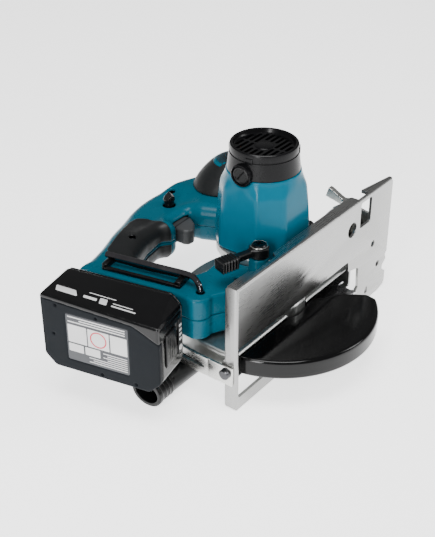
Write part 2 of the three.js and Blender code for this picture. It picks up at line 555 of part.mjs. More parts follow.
const shell = cut(join(cut(wholeShell, hollow, sideHollow), boss), ...shellCuts,
  rod('z', LOCK.x, LOCK.y, LOCK.r + 0.4, 90, 110, 16),
  rod('z', LOCK.x, LOCK.y, 8, 84, 94.3, 20),
  inBatteryFrame(box(5, 77.5, 59.5, HOLDER, 116.5, 88.5)),
  rod('z', wrenchX, wrenchY, 3.8, 82, 110, 12),
  rod('z', LEVER.x, LEVER.y, 3.3, 100, 120, 12));
add('housing_right', TEAL, shell.intersect(box(-100, -50, SHELL.split + 0.15, 300, 300, 130)));
add('housing_left', TEAL, shell.intersect(box(-100, -50, 0, 300, 300, SHELL.split - 0.15)));

// ---------------------------------------------------------------- grips and controls
const gripPad = [[12, 158], [30, 152], [58, 158], [86, 160], [96, 156], [112, 168], [118, 190], [100, 194],
  [66, 180], [30, 164]];
add('grip_pad_right', RUBBER, plate(gripPad, SHELL.z1 + GAP, SHELL.z1 + 2.5, 1, 1));
add('grip_pad_left', RUBBER, plate(gripPad, SHELL.z0 - 2.5, SHELL.z0 - GAP, 1, 1));

const gripRing = (x, y, r, z) =>
  Array.from({ length: 20 }, (_, i) => [...polar(r, 18 * i, { x, y }), z]);
add('front_grip', RUBBER, loft([
  gripRing(186, 158, 29, SHELL.z1 + GAP), gripRing(190, 155, 28, 108), gripRing(195, 151, 25, 118),
  gripRing(197, 149, 20, 126), gripRing(198, 148, 11, 130)]));

const T = TRIGGER;
add('trigger', GREY, plate([[T.x0, T.y1], [T.x0, 142], [T.x0 + 3, T.y0 + 1], [T.x0 + 9, T.y0],
  [T.x1 - 6, 143], [T.x1, 152], [T.x1, T.y1]], T.z0, T.z1, 1.5, 1));
add('switch_unit', GREY, box(102, 173.2, 67, 138, 187, 87));
add('lock_off_button', BLACK, join(rod('z', LOCK.x, LOCK.y, LOCK.r, 92.5, 103, 16),
  rod('z', LOCK.x, LOCK.y, 4, 102, 105, 16), rod('z', LOCK.x, LOCK.y, 7.5, 92.5, 94, 16)));
add('shaft_lock_button', BLACK, join(rod('x', SHAFT_LOCK.y, SHAFT_LOCK.z, 3, SHAFT_LOCK.x0, 160, 12),
  rod('x', SHAFT_LOCK.y, SHAFT_LOCK.z, SHAFT_LOCK.r, 160, SHAFT_LOCK.x1, 16)));
add('lamp_lens', CLEAR, plate([[138.2, 21], [143, 22], [143, 29], [138.2, 30]], 82, 90, 0.8, 1));

const leverPad = new THREE.BoxGeometry(18, 14, 12);
leverPad.translate(LEVER.length - 4, 0, LEVER.z0 + 4);
const leverBar = new THREE.BoxGeometry(26, 9, 7);
leverBar.translate(17, 0, LEVER.z0 + 5.5);
for (const g of [leverPad, leverBar]) {
  g.rotateZ(rad(LEVER.angle));
  g.translate(LEVER.x, LEVER.y, 0);
}
add('depth_lever', BLACK, cut(
  join(rod('z', LEVER.x, LEVER.y, 9, LEVER.z0, LEVER.z1, 20), solid(leverPad), solid(leverBar)),
  rod('z', LEVER.x, LEVER.y, 3.3, 100, 130, 12)));
add('depth_lever_bolt', DARK_STEEL, cut(
  join(rod('z', LEVER.x, LEVER.y, 3, LEVER.z0 - 12, LEVER.z1 + 1, 12),
    rod('z', LEVER.x, LEVER.y, 8.2, LEVER.z1 + GAP, LEVER.z1 + 2.5, 20)),
  box(LEVER.x - 4, LEVER.y - 0.8, LEVER.z1 + 1.4, LEVER.x + 4, LEVER.y + 0.8, 140),
  box(LEVER.x - 0.8, LEVER.y - 4, LEVER.z1 + 1.4, LEVER.x + 0.8, LEVER.y + 4, 140)));

// ---------------------------------------------------------------- hex wrench and its clip
const wrenchPoint = (d, s, z) => new THREE.Vector3(...fromBattery(d, s), z);
const wrenchPath = new THREE.CatmullRomCurve3([
  wrenchPoint(WRENCH.d, WRENCH.s1, WRENCH.z), wrenchPoint(WRENCH.d, WRENCH.s0 + 4, WRENCH.z),
  wrenchPoint(31, 54, WRENCH.z - 0.5), wrenchPoint(27, 47.5, WRENCH.z - 5),
  wrenchPoint(26.2, 45.5, WRENCH.z - 11), wrenchPoint(26.2, 45.5, 84)], false, 'centripetal');
const hexagon = new THREE.Shape(Array.from({ length: 6 }, (_, i) =>
  new THREE.Vector2(WRENCH.r * Math.cos(rad(60 * i)), WRENCH.r * Math.sin(rad(60 * i)))));
add('hex_wrench', DARK_STEEL, solid(new THREE.ExtrudeGeometry(hexagon,
  { steps: 22, extrudePath: wrenchPath, bevelEnabled: false })));
const clipZ = SHELL.z1 + GAP;
add('wrench_clip', BLACK, inBatteryFrame(join(
  box(22, 64, clipZ, 25, 138, clipZ + 5), box(22, 134, clipZ, 37, 138, clipZ + 6),
  box(22, 64, clipZ, 37, 78, clipZ + 6))));

// ---------------------------------------------------------------- battery pack
const B = BATTERY;
const bz1 = B.z0 + B.width;
const far = B.near + B.length;
function pack(d0, d1, s0, s1, z0, z1, round) {
  const outline = [[s0, z0 + round], [s0 + round, z0], [s1 - round, z0], [s1, z0 + round],
    [s1, z1 - round], [s1 - round, z1], [s0 + round, z1], [s0, z1 - round]];
  return sheetX(outline, d0, d1);
}
add('battery_case', BLACK, inBatteryFrame(cut(
  join(pack(B.label, B.label + 3, B.near + 2, far - 2, B.z0 + 2, bz1 - 2, 8),
    pack(B.label + 2, B.rail, B.near, far, B.z0, bz1, 8)),
  box(B.label + 3, B.near + 3, B.z0 + 3, B.rail + 1, far - 3, bz1 - 3),
  box(-36, B.near - 1, 58, -14, B.near + 1.6, 90),
  box(-13, B.near - 1, 56, -6, B.near + 0.8, 92))));
add('battery_cover', BLACK, inBatteryFrame(cut(
  join(pack(B.rail + GAP, B.rail + 3, B.near + 1, far - 1, B.z0 + 1, bz1 - 1, 8),
    pack(B.rail + 2, B.top, B.near + 15, far - 14, 49, 98, 2)),
  box(B.rail - 1, B.near + 20, 54, B.top - 2.5, far - 20, 93),
  box(B.rail + 5, B.near + 10, 48, B.top - 3.5, far - 20, 51),
  box(B.rail + 5, B.near + 10, 96, B.top - 3.5, far - 20, 99))));
const cells = [];
for (let row = 0; row < CELL.rows; row++) {
  for (const d of CELL.layers) {
    cells.push(rod('z', d, B.near + 18 + row * CELL.pitch, CELL.r, B.z0 + 3.5, bz1 - 7.5, 12));
  }
}
add('battery_cells', GREY, inBatteryFrame(join(...cells,
  box(B.label + 8, B.near + 12, B.z0 + 4.5, B.label + 36, far - 12, B.z0 + 6))));
add('battery_latch', BLACK, inBatteryFrame(box(-35.7, B.near - 1.4, 58.4, -18, B.near + 1.3, 89.6)));
add('battery_gauge', GREY, inBatteryFrame(box(-12.7, B.near - 0.6, 56.4, -6.3, B.near + 0.5, 91.6)));
add('terminal_block', GREY, inBatteryFrame(cut(
  box(B.top + GAP, 78, 60, HOLDER - GAP, 116, 88), box(B.top - 1, 82, 64, B.top + 2, 112, 66),
  box(B.top - 1, 82, 82, B.top + 2, 112, 84))));

// the finished assembly stands over its own origin: centred in X and Y, lowest point at zero
const bounds = new THREE.Box3().setFromObject(group);
group.position.set(-(bounds.min.x + bounds.max.x) / 2, -(bounds.min.y + bounds.max.y) / 2, -bounds.min.z);
group.updateMatrixWorld(true);

export default group;
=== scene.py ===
from functools import reduce
from math import ceil, cos, pi, radians, sin, sqrt, tan

import bmesh
import bpy
import numpy as np
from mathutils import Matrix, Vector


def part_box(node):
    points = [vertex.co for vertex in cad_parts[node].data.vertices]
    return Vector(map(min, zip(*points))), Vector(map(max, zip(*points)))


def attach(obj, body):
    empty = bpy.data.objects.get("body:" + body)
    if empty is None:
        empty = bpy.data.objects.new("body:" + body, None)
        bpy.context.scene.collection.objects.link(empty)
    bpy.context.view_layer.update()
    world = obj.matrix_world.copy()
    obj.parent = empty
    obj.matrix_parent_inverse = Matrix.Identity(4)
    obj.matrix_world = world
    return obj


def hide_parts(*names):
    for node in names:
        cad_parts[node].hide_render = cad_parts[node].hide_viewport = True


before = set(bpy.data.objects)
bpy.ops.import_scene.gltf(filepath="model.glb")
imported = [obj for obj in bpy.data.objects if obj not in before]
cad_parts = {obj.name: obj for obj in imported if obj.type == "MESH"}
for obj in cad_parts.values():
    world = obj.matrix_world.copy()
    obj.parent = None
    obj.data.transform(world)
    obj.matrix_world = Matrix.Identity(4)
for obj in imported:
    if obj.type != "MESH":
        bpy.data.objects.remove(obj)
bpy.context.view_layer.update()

import openvdb as vdb
from mathutils import Matrix, Vector

# Lengths below are millimetres from the sole's outer rear corner on the blade side:
# X is the cutting direction, Y runs from the sole to the handle, Z from the blade to the motor.
MM = 0.001
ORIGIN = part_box("base_plate")[0]
TO_FRAME = Matrix.Translation(ORIGIN) @ Matrix.Scale(MM, 4)

ARBOR = (101.6, 25.5)
MOTOR = (115.96, 56.43)
TILT = radians(12.5)
LEVER = (70.0, 27.5)
LOCK = (128.0, 178.0)
SHAFT_LOCK = (38, 99)
IDLER = (106.36, 51.06)
DEPTH_PIVOT = (219.0, 32.0)
BEVEL_AXIS = (8.0, 41.0)
CAP_Z = 180.5
SHELL = (56.5, 97.5)
SPLIT_Z = 77.0
PACK_MID_Z = 74
NOZZLE_Y, NOZZLE_Z = 68, 13.5
SKIN = 3.0
GAP = 0.3


# ------------------------------------------------------------------ mesh helpers
def smooth_step(a, b, value):
    t = np.clip((value - a) / (b - a), 0, 1)
    return t * t * (3 - 2 * t)


def polar(centre, r, degrees):
    return (centre[0] + r * cos(radians(degrees)), centre[1] + r * sin(radians(degrees)))


def arc(centre, r, start, end, steps):
    """Points of an arc, angles in degrees."""
    return [polar(centre, r, start + (end - start) * i / steps) for i in range(steps + 1)]


def circle(centre, r, sides):
    return arc(centre, r, 0, 360, sides)[:-1]


def hexagon(centre, r, turn=0):
    return [polar(centre, r, 60 * i + turn) for i in range(6)]


def rectangle(x0, y0, x1, y1):
    return [(x0, y0), (x1, y0), (x1, y1), (x0, y1)]


def fillet(points, r, steps=5):
    """The same outline with each corner rounded to radius r, or less where an edge is short."""
    made = []
    for i, p in enumerate(points):
        here = Vector(p)
        back = Vector(points[i - 1]) - here
        on = Vector(points[(i + 1) % len(points)]) - here
        angle = back.angle(on)
        if angle > radians(172):
            made.append(tuple(p))
            continue
        reach = min(r / tan(angle / 2), 0.49 * back.length, 0.49 * on.length)
        a = here + back.normalized() * reach
        b = here + on.normalized() * reach
        for k in range(steps + 1):
            t = k / steps
            q = a.lerp(here, t).lerp(here.lerp(b, t), t)
            made.append((q.x, q.y))
    return made


def spline(points, per_span):
    """A Catmull-Rom curve through 2-D or 3-D points."""
    pts = [Vector(p) for p in points]
    made = []
    for i, (p1, p2) in enumerate(zip(pts, pts[1:])):
        p0 = pts[max(i - 1, 0)]
        p3 = pts[min(i + 2, len(pts) - 1)]
        for k in range(per_span):
            t = k / per_span
            q = 0.5 * (2 * p1 + (p2 - p0) * t + (2 * p0 - 5 * p1 + 4 * p2 - p3) * t ** 2
                       + (3 * p1 - p0 - 3 * p2 + p3) * t ** 3)
            made.append(tuple(q))
    return made + [tuple(pts[-1])]


def to_mesh(bm, weld=1e-4):
    bmesh.ops.remove_doubles(bm, verts=bm.verts, dist=weld)
    bmesh.ops.recalc_face_normals(bm, faces=bm.faces)
    mesh = bpy.data.meshes.new("part")
    bm.to_mesh(mesh)
    bm.free()
    return mesh


def linked(name, data):
    made = bpy.data.objects.new(name, data)
    bpy.context.scene.collection.objects.link(made)
    return made


def evaluated(carrier):
    """The carrier's mesh after its modifiers or curve settings; the carrier itself is removed."""
    graph = bpy.context.evaluated_depsgraph_get()
    made = bpy.data.meshes.new_from_object(carrier.evaluated_get(graph))
    bpy.data.objects.remove(carrier)
    return made


def combined(mesh, other, operation):
    tool = linked("tool", other)
    carrier = linked("carrier", mesh)
    modifier = carrier.modifiers.new("combine", "BOOLEAN")
    modifier.operation = operation
    modifier.solver = "EXACT"
    modifier.object = tool
    made = evaluated(carrier)
    bpy.data.objects.remove(tool)
    return made


def cut(mesh, *tools):
    for tool in tools:
        mesh = combined(mesh, tool, "DIFFERENCE")
    return mesh


def join(mesh, *others):
    for other in others:
        mesh = combined(mesh, other, "UNION")
    return mesh


def together(*meshes):
    """Separate closed bodies in one mesh."""
    bm = bmesh.new()
    for mesh in meshes:
        bm.from_mesh(mesh)
    made = bpy.data.meshes.new("part")
    bm.to_mesh(made)
    bm.free()
    return made


def moved(mesh, matrix):
    copy = mesh.copy()
    copy.transform(matrix)
    return copy


def turned_about(centre, degrees, axis="Z"):
    """The placing of a shape drawn about its own origin: turned, then carried to the centre."""
    return Matrix.Translation(centre) @ Matrix.Rotation(radians(degrees), 4, axis)


PLANES = {
    "xy": Matrix.Identity(4),
    "yz": Matrix(((0, 0, 1, 0), (1, 0, 0, 0), (0, 1, 0, 0), (0, 0, 0, 1))),
    "xz": Matrix(((1, 0, 0, 0), (0, 0, 1, 0), (0, 1, 0, 0), (0, 0, 0, 1))),
}


def prism(outline, low, high, rim=0.4, holes=(), plane="xy", steps=2):
    """A plate with the given outline and holes, its rims rounded."""
    curve = bpy.data.curves.new("outline", "CURVE")
    curve.dimensions = "2D"
    curve.fill_mode = "BOTH"
    curve.extrude = (high - low) / 2 - rim
    curve.bevel_depth = rim
    curve.bevel_resolution = steps
    curve.offset = -rim
    for loop in [outline, *holes]:
        line = curve.splines.new("POLY")
        line.points.add(len(loop) - 1)
        for point, (a, b) in zip(line.points, loop):
            point.co = (a, b, 0, 1)
        line.use_cyclic_u = True
    flat = evaluated(linked("outline", curve))
    flat.transform(PLANES[plane] @ Matrix.Translation((0, 0, (low + high) / 2)))
    bm = bmesh.new()
    bm.from_mesh(flat)
    return to_mesh(bm, 1e-3)


def block(x0, y0, z0, x1, y1, z1, rim=0.8, steps=3):
    bm = bmesh.new()
    size = (x1 - x0, y1 - y0, z1 - z0)
    centre = ((x0 + x1) / 2, (y0 + y1) / 2, (z0 + z1) / 2)
    bmesh.ops.create_cube(bm, size=1, matrix=Matrix.LocRotScale(centre, None, size))
    if rim:
        bmesh.ops.bevel(bm, geom=bm.edges, offset=rim, segments=steps, profile=0.5,
                        affect="EDGES", clamp_overlap=True)
    return to_mesh(bm)


def turned(profile, centre, axis="z", sides=72):
    """A turned body; profile is [radius, height] pairs. A profile off the axis closes on itself."""
    bm = bmesh.new()
    rings = []
    for r, h in profile:
        if r < 1e-6:
            rings.append([bm.verts.new((0, 0, h))])
            continue
        turns = [2 * pi * i / sides for i in range(sides)]
        rings.append([bm.verts.new((r * cos(a), r * sin(a), h)) for a in turns])
    closed = profile[0][0] > 1e-6
    pairs = list(zip(rings, rings[1:] + ([rings[0]] if closed else [])))
    for low, high in pairs:
        if low is high or (len(low) == 1 and len(high) == 1):
            continue
        for i in range(sides):
            j = (i + 1) % sides
            corners = [low[i % len(low)], low[j % len(low)], high[j % len(high)], high[i % len(high)]]
            unique = list(dict.fromkeys(corners))
            if len(unique) > 2:
                bm.faces.new(unique)
    mesh = to_mesh(bm)
    turn = {"z": Matrix.Identity(4), "x": Matrix.Rotation(pi / 2, 4, "Y"),
            "y": Matrix.Rotation(-pi / 2, 4, "X")}[axis]
    place = {"z": (centre[0], centre[1], 0), "x": (0, centre[0], centre[1]),
             "y": (centre[0], 0, centre[1])}[axis]
    mesh.transform(Matrix.Translation(place) @ turn)
    return mesh


def rod(centre, r, low, high, axis="z", rim=0.5, sides=48):
    profile = [(0, low), (r - rim, low), (r - rim * 0.3, low + rim * 0.3), (r, low + rim),
               (r, high - rim), (r - rim * 0.3, high - rim * 0.3), (r - rim, high), (0, high)]
    return turned(profile, centre, axis, sides)


def tube(centre, r_out, r_in, low, high, rim=0.4, axis="z", sides=64):
    profile = [(r_in + rim, low), (r_out - rim, low), (r_out, low + rim), (r_out, high - rim),
               (r_out - rim, high), (r_in + rim, high), (r_in, high - rim), (r_in, low + rim)]
    return turned(profile, centre, axis, sides)


def swept(path, section):
    """A closed section carried along a path of 3-D points, with flat ends."""
    pts = [Vector(p) for p in path]
    bm = bmesh.new()
    tangent = (pts[1] - pts[0]).normalized()
    side = tangent.orthogonal().normalized()
    rings = []
    for i, p in enumerate(pts):
        ahead = (pts[min(i + 1, len(pts) - 1)] - pts[max(i - 1, 0)]).normalized()
        side = (side - ahead * side.dot(ahead)).normalized()
        other = ahead.cross(side)
        rings.append([bm.verts.new(p + side * a + other * b) for a, b in section])
    n = len(section)
    for low, high in zip(rings, rings[1:]):
        for i in range(n):
            bm.faces.new((low[i], low[(i + 1) % n], high[(i + 1) % n], high[i]))
    bm.faces.new(rings[0])
    bm.faces.new(rings[-1])
    return to_mesh(bm)


# ------------------------------------------------------------------ distance fields
class Grid:
    """A box of sample points; fields on it are signed distances in millimetres."""

    def __init__(self, low, high, step):
        self.low = np.array(low, dtype=float)
        self.step = step
        count = [int(ceil((b - a) / step)) + 1 for a, b in zip(low, high)]
        axes = [self.low[k] + step * np.arange(count[k]) for k in range(3)]
        self.x = axes[0][:, None, None]
        self.y = axes[1][None, :, None]
        self.z = axes[2][None, None, :]
        self.shape = tuple(count)

    def outline(self, points, plane="xy"):
        """Signed distance to a closed outline, negative inside, the same all along the third axis."""
        u, v = {"xy": (self.x, self.y), "yz": (self.y, self.z), "xz": (self.x, self.z)}[plane]
        u, v = np.broadcast_arrays(u, v)
        best = np.full(u.shape, 1e9)
        inside = np.zeros(u.shape, bool)
        for (ax, ay), (bx, by) in zip(points, list(points[1:]) + [points[0]]):
            ex, ey = bx - ax, by - ay
            length2 = ex * ex + ey * ey + 1e-12
            t = np.clip(((u - ax) * ex + (v - ay) * ey) / length2, 0, 1)
            best = np.minimum(best, (u - ax - t * ex) ** 2 + (v - ay - t * ey) ** 2)
            if ay != by:
                crossing = ((ay > v) != (by > v)) & (u < (bx - ax) * (v - ay) / (by - ay) + ax)
                inside ^= crossing
        return np.where(inside, -1, 1) * np.sqrt(best)

    def slab(self, flat, low, high, rounding, across=None):
        """A flat distance field made solid between two heights, with rounded rims."""
        height = self.z if across is None else across
        w = abs(height - (low + high) / 2) - (high - low) / 2 + rounding
        u = flat + rounding
        return np.minimum(np.maximum(u, w), 0) + np.hypot(np.maximum(u, 0), np.maximum(w, 0)) - rounding

    def plate(self, points, low, high, rounding, plane="xy"):
        """An outline made solid between two heights along the third axis."""
        height = {"xy": self.z, "yz": self.x, "xz": self.y}[plane]
        return self.slab(self.outline(points, plane), low, high, rounding, across=height)

    def radius(self, centre):
        """Distance from an axis parallel to Z."""
        return np.hypot(self.x - centre[0], self.y - centre[1])

    def rod(self, centre, r, low, high, rounding=0.5, axis="z"):
        u, v, w = {"z": (self.x, self.y, self.z), "x": (self.y, self.z, self.x),
                   "y": (self.x, self.z, self.y)}[axis]
        flat = np.hypot(u - centre[0], v - centre[1]) - r
        return self.slab(flat, low, high, rounding, across=w)

    def mesh(self, field):
        values = np.broadcast_to(field, self.shape).astype(np.float32)
        capped = np.clip(values, -3 * self.step, 3 * self.step)
        padded = np.pad(capped, 1, constant_values=3 * self.step)
        volume = vdb.FloatGrid(background=3 * self.step)
        volume.copyFromArray(np.ascontiguousarray(padded))
        points, triangles, quads = volume.convertToPolygons(isovalue=0.0, adaptivity=0.0)
        points = self.low + (np.asarray(points) - 1) * self.step
        mesh = bpy.data.meshes.new("part")
        faces = [tuple(q)[::-1] for q in quads.tolist()] + [tuple(t)[::-1] for t in triangles.tolist()]
        mesh.from_pydata(points.tolist(), [], faces)
        bm = bmesh.new()
        bm.from_mesh(mesh)
        return to_mesh(bm, 1e-4)


def overlap(*fields):
    """What lies inside every field."""
    return reduce(np.maximum, fields)


def without(field, *tools):
    """The field with the tools taken away, edges left sharp."""
    for tool in tools:
        field = np.maximum(field, -tool)
    return field


def local(x, y, centre, angle):
    """Coordinates along and across a direction at the given angle in radians, from the centre."""
    x, y = x - centre[0], y - centre[1]
    return x * cos(angle) + y * sin(angle), y * cos(angle) - x * sin(angle)


def blend_union(a, b, k):
    h = np.clip(0.5 + 0.5 * (b - a) / k, 0, 1)
    return b * (1 - h) + a * h - k * h * (1 - h)


def blend_cut(field, k, *tools):
    """The field with the tools taken away, each edge softened over k."""
    for tool in tools:
        field = -blend_union(-field, tool, k)
    return field


# ------------------------------------------------------------------ pieces
def piece(name, mesh, material, body, nodes=(), slot=None, sharp=35):
    mesh = mesh.copy()
    mesh.transform(TO_FRAME)
    mesh.materials.clear()
    mesh.materials.append(material)
    mesh.shade_smooth()
    mesh.set_sharp_from_angle(angle=radians(sharp))
    made = linked(name, mesh)
    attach(made, body)
    if nodes:
        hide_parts(*nodes)
    return made


# ------------------------------------------------------------------ materials
class Surface:
    """A new material and the nodes that drive its shader."""

    def __init__(self, name):
        self.material = bpy.data.materials.new(name)
        self.material.use_nodes = True
        self.nodes = self.material.node_tree.nodes
        self.links = self.material.node_tree.links
        self.inputs = self.nodes["Principled BSDF"].inputs

    def feed(self, socket, value):
        """Link the socket to another node's output, or set it to a plain value."""
        if isinstance(value, bpy.types.NodeSocket):
            self.links.new(value, socket)
        else:
            socket.default_value = value

    def node(self, kind, output, **inputs):
        made = self.nodes.new("ShaderNode" + kind)
        for name, value in inputs.items():
            self.feed(made.inputs[name.replace("_", " ")], value)
        return made.outputs[output]

    def maths(self, operation, *values):
        made = self.nodes.new("ShaderNodeMath")
        made.operation = operation
        for socket, value in zip(made.inputs, values):
            self.feed(socket, value)
        return made.outputs[0]

    def place(self, stretch=(1, 1, 1)):
        return self.node("Mapping", "Vector", Vector=self.node("TexCoord", "Object"), Scale=stretch)

    def noise(self, vector, scale, detail, rough=0.5):
        return self.node("TexNoise", "Fac", Vector=vector, Scale=scale, Detail=detail, Roughness=rough)

    def two_tone(self, value, colour, tone):
        """A little darker and a little lighter than the colour, over the value's middle range."""
        made = self.nodes.new("ShaderNodeValToRGB")
        shades = ([c * (1 - tone) for c in colour], [min(c * (1 + tone), 1) for c in colour])
        for element, position, shade in zip(made.color_ramp.elements, (0.35, 0.65), shades):
            element.position = position
            element.color = (*shade, 1)
        self.feed(made.inputs["Fac"], value)
        self.feed(self.inputs["Base Color"], made.outputs["Color"])

    def gloss(self, value, low, high):
        """Roughness from low to high over the value's middle range."""
        rough = self.node("MapRange", "Result", Value=value, From_Min=0.3, From_Max=0.7,
                          To_Min=low, To_Max=high)
        self.feed(self.inputs["Roughness"], rough)

    def bump(self, height, distance, strength):
        """Distance in millimetres."""
        normal = self.node("Bump", "Normal", Height=height, Distance=distance * MM, Strength=strength)
        self.feed(self.inputs["Normal"], normal)


def moulded(name, colour, rough, spread=0.06, grain=900, depth=0.02, tone=0.12, shine=0.3, ior=1.5):
    """A moulded plastic or rubber: slow colour drift, uneven gloss and a fine eroded texture."""
    surface = Surface(name)
    place = surface.place()
    surface.two_tone(surface.noise(place, 35, 4), colour, tone)
    surface.gloss(surface.noise(place, 140, 5, 0.6), rough - spread, rough + spread)
    surface.bump(surface.noise(place, grain, 2), depth, 0.5)
    surface.inputs["Specular IOR Level"].default_value = shine
    surface.inputs["IOR"].default_value = ior
    return surface.material


def metal(name, colour, rough, stretch=(1, 1, 1), grain=300, depth=0.01, spread=0.08, tone=0.1,
          smear=40):
    """A metal with machining or rolling lines along the squeezed axis, and cloudy patches."""
    surface = Surface(name)
    lines = surface.noise(surface.place(stretch), grain, 3, 0.65)
    clouds = surface.noise(surface.place(), smear, 4, 0.6)
    mixed = surface.maths("MULTIPLY_ADD", lines, 0.5, surface.maths("MULTIPLY", clouds, 0.5))
    surface.two_tone(mixed, colour, tone)
    surface.gloss(mixed, rough - spread, rough + spread)
    surface.bump(lines, depth, 0.6)
    surface.inputs["Metallic"].default_value = 1.0
    return surface.material


TEAL = moulded("teal_plastic", (0.0001, 0.1, 0.158), 0.17, spread=0.04, grain=1500, depth=0.006,
               tone=0.04, shine=0.2, ior=1.34)
TEAL_SATIN = moulded("teal_satin", (0.0002, 0.085, 0.128), 0.3, grain=1500, depth=0.012, tone=0.05,
                     shine=0.25, ior=1.4)
BLACK = moulded("black_plastic", (0.0035, 0.0037, 0.004), 0.3, grain=1800, depth=0.02)
COVER_BLACK = moulded("cover_black", (0.0032, 0.0032, 0.0037), 0.24, grain=2200, depth=0.012, shine=0.15)
GUARD_BLACK = moulded("guard_black", (0.002, 0.002, 0.0022), 0.12, spread=0.04, grain=600, depth=0.005,
                      shine=0.25)
GLOSS_BLACK = moulded("battery_black", (0.0022, 0.0022, 0.0026), 0.17, spread=0.04, grain=1400,
                      depth=0.006, shine=0.35)
LABEL_GREY = moulded("battery_grey", (0.0052, 0.0068, 0.009), 0.5, grain=2600, depth=0.02, shine=0.08)
PANEL_GREY = moulded("label_panel", (0.055, 0.058, 0.064), 0.4, grain=3000, depth=0.004, tone=0.05)
PRINT_WHITE = moulded("print_white", (0.62, 0.62, 0.62), 0.45, grain=3000, depth=0.003, tone=0.04)
PRINT_RED = moulded("print_red", (0.55, 0.02, 0.05), 0.45, grain=3000, depth=0.003, tone=0.04)
RUBBER = moulded("grip_rubber", (0.0075, 0.0085, 0.009), 0.46, spread=0.07, grain=1200, depth=0.04)
GREY = moulded("grey_plastic", (0.04, 0.042, 0.044), 0.4, grain=1800, depth=0.02)
DARK_GREY = moulded("dark_grey_plastic", (0.012, 0.013, 0.014), 0.42, grain=1800, depth=0.02)
SOLE = metal("sole_aluminium", (0.335, 0.335, 0.33), 0.28, stretch=(0.04, 1, 1), grain=1600, depth=0.0015,
             spread=0.05, tone=0.05, smear=22)
CAST = metal("cast_aluminium", (0.46, 0.47, 0.46), 0.36, grain=700, depth=0.04, spread=0.08, tone=0.08)
GUIDE_METAL = metal("guide_aluminium", (0.55, 0.55, 0.53), 0.28, stretch=(1, 0.08, 1), grain=900,
                    depth=0.01)
STEEL = metal("zinc_steel", (0.55, 0.54, 0.51), 0.25, grain=260, depth=0.01)
MACHINED = metal("machined_steel", (0.48, 0.48, 0.49), 0.25, stretch=(1, 1, 0.05), grain=900, depth=0.006)
DARK_STEEL = metal("dark_steel", (0.07, 0.07, 0.075), 0.3, grain=500, depth=0.01)
BLACKENED = metal("blackened_steel", (0.03, 0.03, 0.032), 0.28, grain=500, depth=0.01)
WRENCH_METAL = metal("wrench_black", (0.13, 0.125, 0.135), 0.2, grain=300, depth=0.004, spread=0.05)
BLADE_METAL = metal("blade_steel", (0.16, 0.16, 0.165), 0.26, grain=500, depth=0.006)
COPPER = metal("copper", (0.6, 0.28, 0.14), 0.3, grain=900, depth=0.02)


# ------------------------------------------------------------------ motor
def along(z, heights, values, soften=5.0):
    """Values interpolated over height, the bends softened."""
    shifts = np.linspace(-soften, soften, 9)
    return sum(np.interp(z + s, heights, values) for s in shifts) / len(shifts)


def smooth_max(a, b, k):
    return -blend_union(-a, -b, k)


def cap_side(side, near, far):
    return sorted((MOTOR[0] + side * near, MOTOR[0] + side * far))


def build_motor_housing():
    """Eight-sided and tapering, going round under the end cap, with a seat for each brush cap."""
    g = Grid((75.5, 16, 103.5), (156.5, 97, 176.6), 0.7)
    u = abs(g.x - MOTOR[0])
    v = abs(g.y - MOTOR[1])
    heights = [104.3, 122, 140, 158, 168, 176]
    flat = along(g.z, heights, [39.2, 38.7, 37.5, 35.9, 34.8, 33.3])
    corner = along(g.z, heights, [42.3, 41.6, 40.3, 38.4, 36.6, 33.6])
    eight_sided = smooth_max(smooth_max(u - flat, v - flat, 4), (u + v) / sqrt(2) - corner, 3)
    round_top = np.hypot(u, v) - along(g.z, heights, [40, 40, 38.5, 36.6, 35.3, 33.5])
    share = smooth_step(160, 175, g.z)
    body = g.slab(eight_sided * (1 - share) + round_top * share, 104.3, 176, 1.0)
    body = without(body, g.rod(MOTOR, 30, 100, 180))
    for side in (1, -1):
        low, high = cap_side(side, 30.5, 60)
        body = blend_cut(body, 1.2, g.rod((MOTOR[1], CAP_Z), 10.7, low, high, 0.5, "x"))
    piece("motor_housing_shell", g.mesh(body), TEAL, "saw_body", ["motor_housing"], "teal_plastic", 50)


def stadium(x0, x1, y, half):
    return arc((x0 + half, y), half, 90, 270, 8) + arc((x1 - half, y), half, -90, 90, 8)


def build_end_cover():
    """A black cap with a slotted grille, two brush bosses and small raised tabs."""
    profile = [(0, 193.4), (27.4, 193.4), (27.6, 176.3), (32.9, 176.3), (33.1, 176.7), (32.9, 178.5),
               (31.6, 189.6), (31.3, 192.2), (30.5, 192.5), (30.4, 193.4), (31, 193.8), (30.95, 198.6),
               (30.6, 199.8), (29.8, 200.4), (28.8, 200.45), (28.0, 200), (27.5, 198.8), (27.1, 197),
               (26.5, 196.3), (8.6, 196.2), (8.1, 196.7), (7.4, 196.9), (0, 196.9)]
    cover = turned(profile, MOTOR, sides=96)
    for row in range(-4, 5):
        y = MOTOR[1] + row * 5.4
        half = sqrt(25.8 ** 2 - (row * 5.4) ** 2) - 1
        inner = 9.8 if abs(row) < 2 else 1.0
        for side in (1, -1):
            a, b = cap_side(side, inner, half)
            cover = cut(cover, prism(stadium(a, b, y, 1.55), 188, 206, rim=0))
    bosses = []
    for side in (1, -1):
        low, high = cap_side(side, 26.5, 36.2)
        bosses.append(tube((MOTOR[1], CAP_Z), 10.2, 8.7, low, high, 0.5, "x"))
        a, b = cap_side(side, 24, 50)
        cover = cut(cover, rod((MOTOR[1], CAP_Z), 9.4, a, b, "x", rim=0.1))
    tabs = []
    for turn in (20, 100, 215, 262, 330):
        tab = block(-3.6, 30.2, 191.2, 3.6, 31.75, 196.6, 0.3, 2)
        tabs.append(moved(tab, turned_about((*MOTOR, 0), turn)))
    piece("motor_end_cap", together(cover, *bosses, *tabs), COVER_BLACK, "saw_body",
          ["motor_end_cover"], "black_plastic", 32)


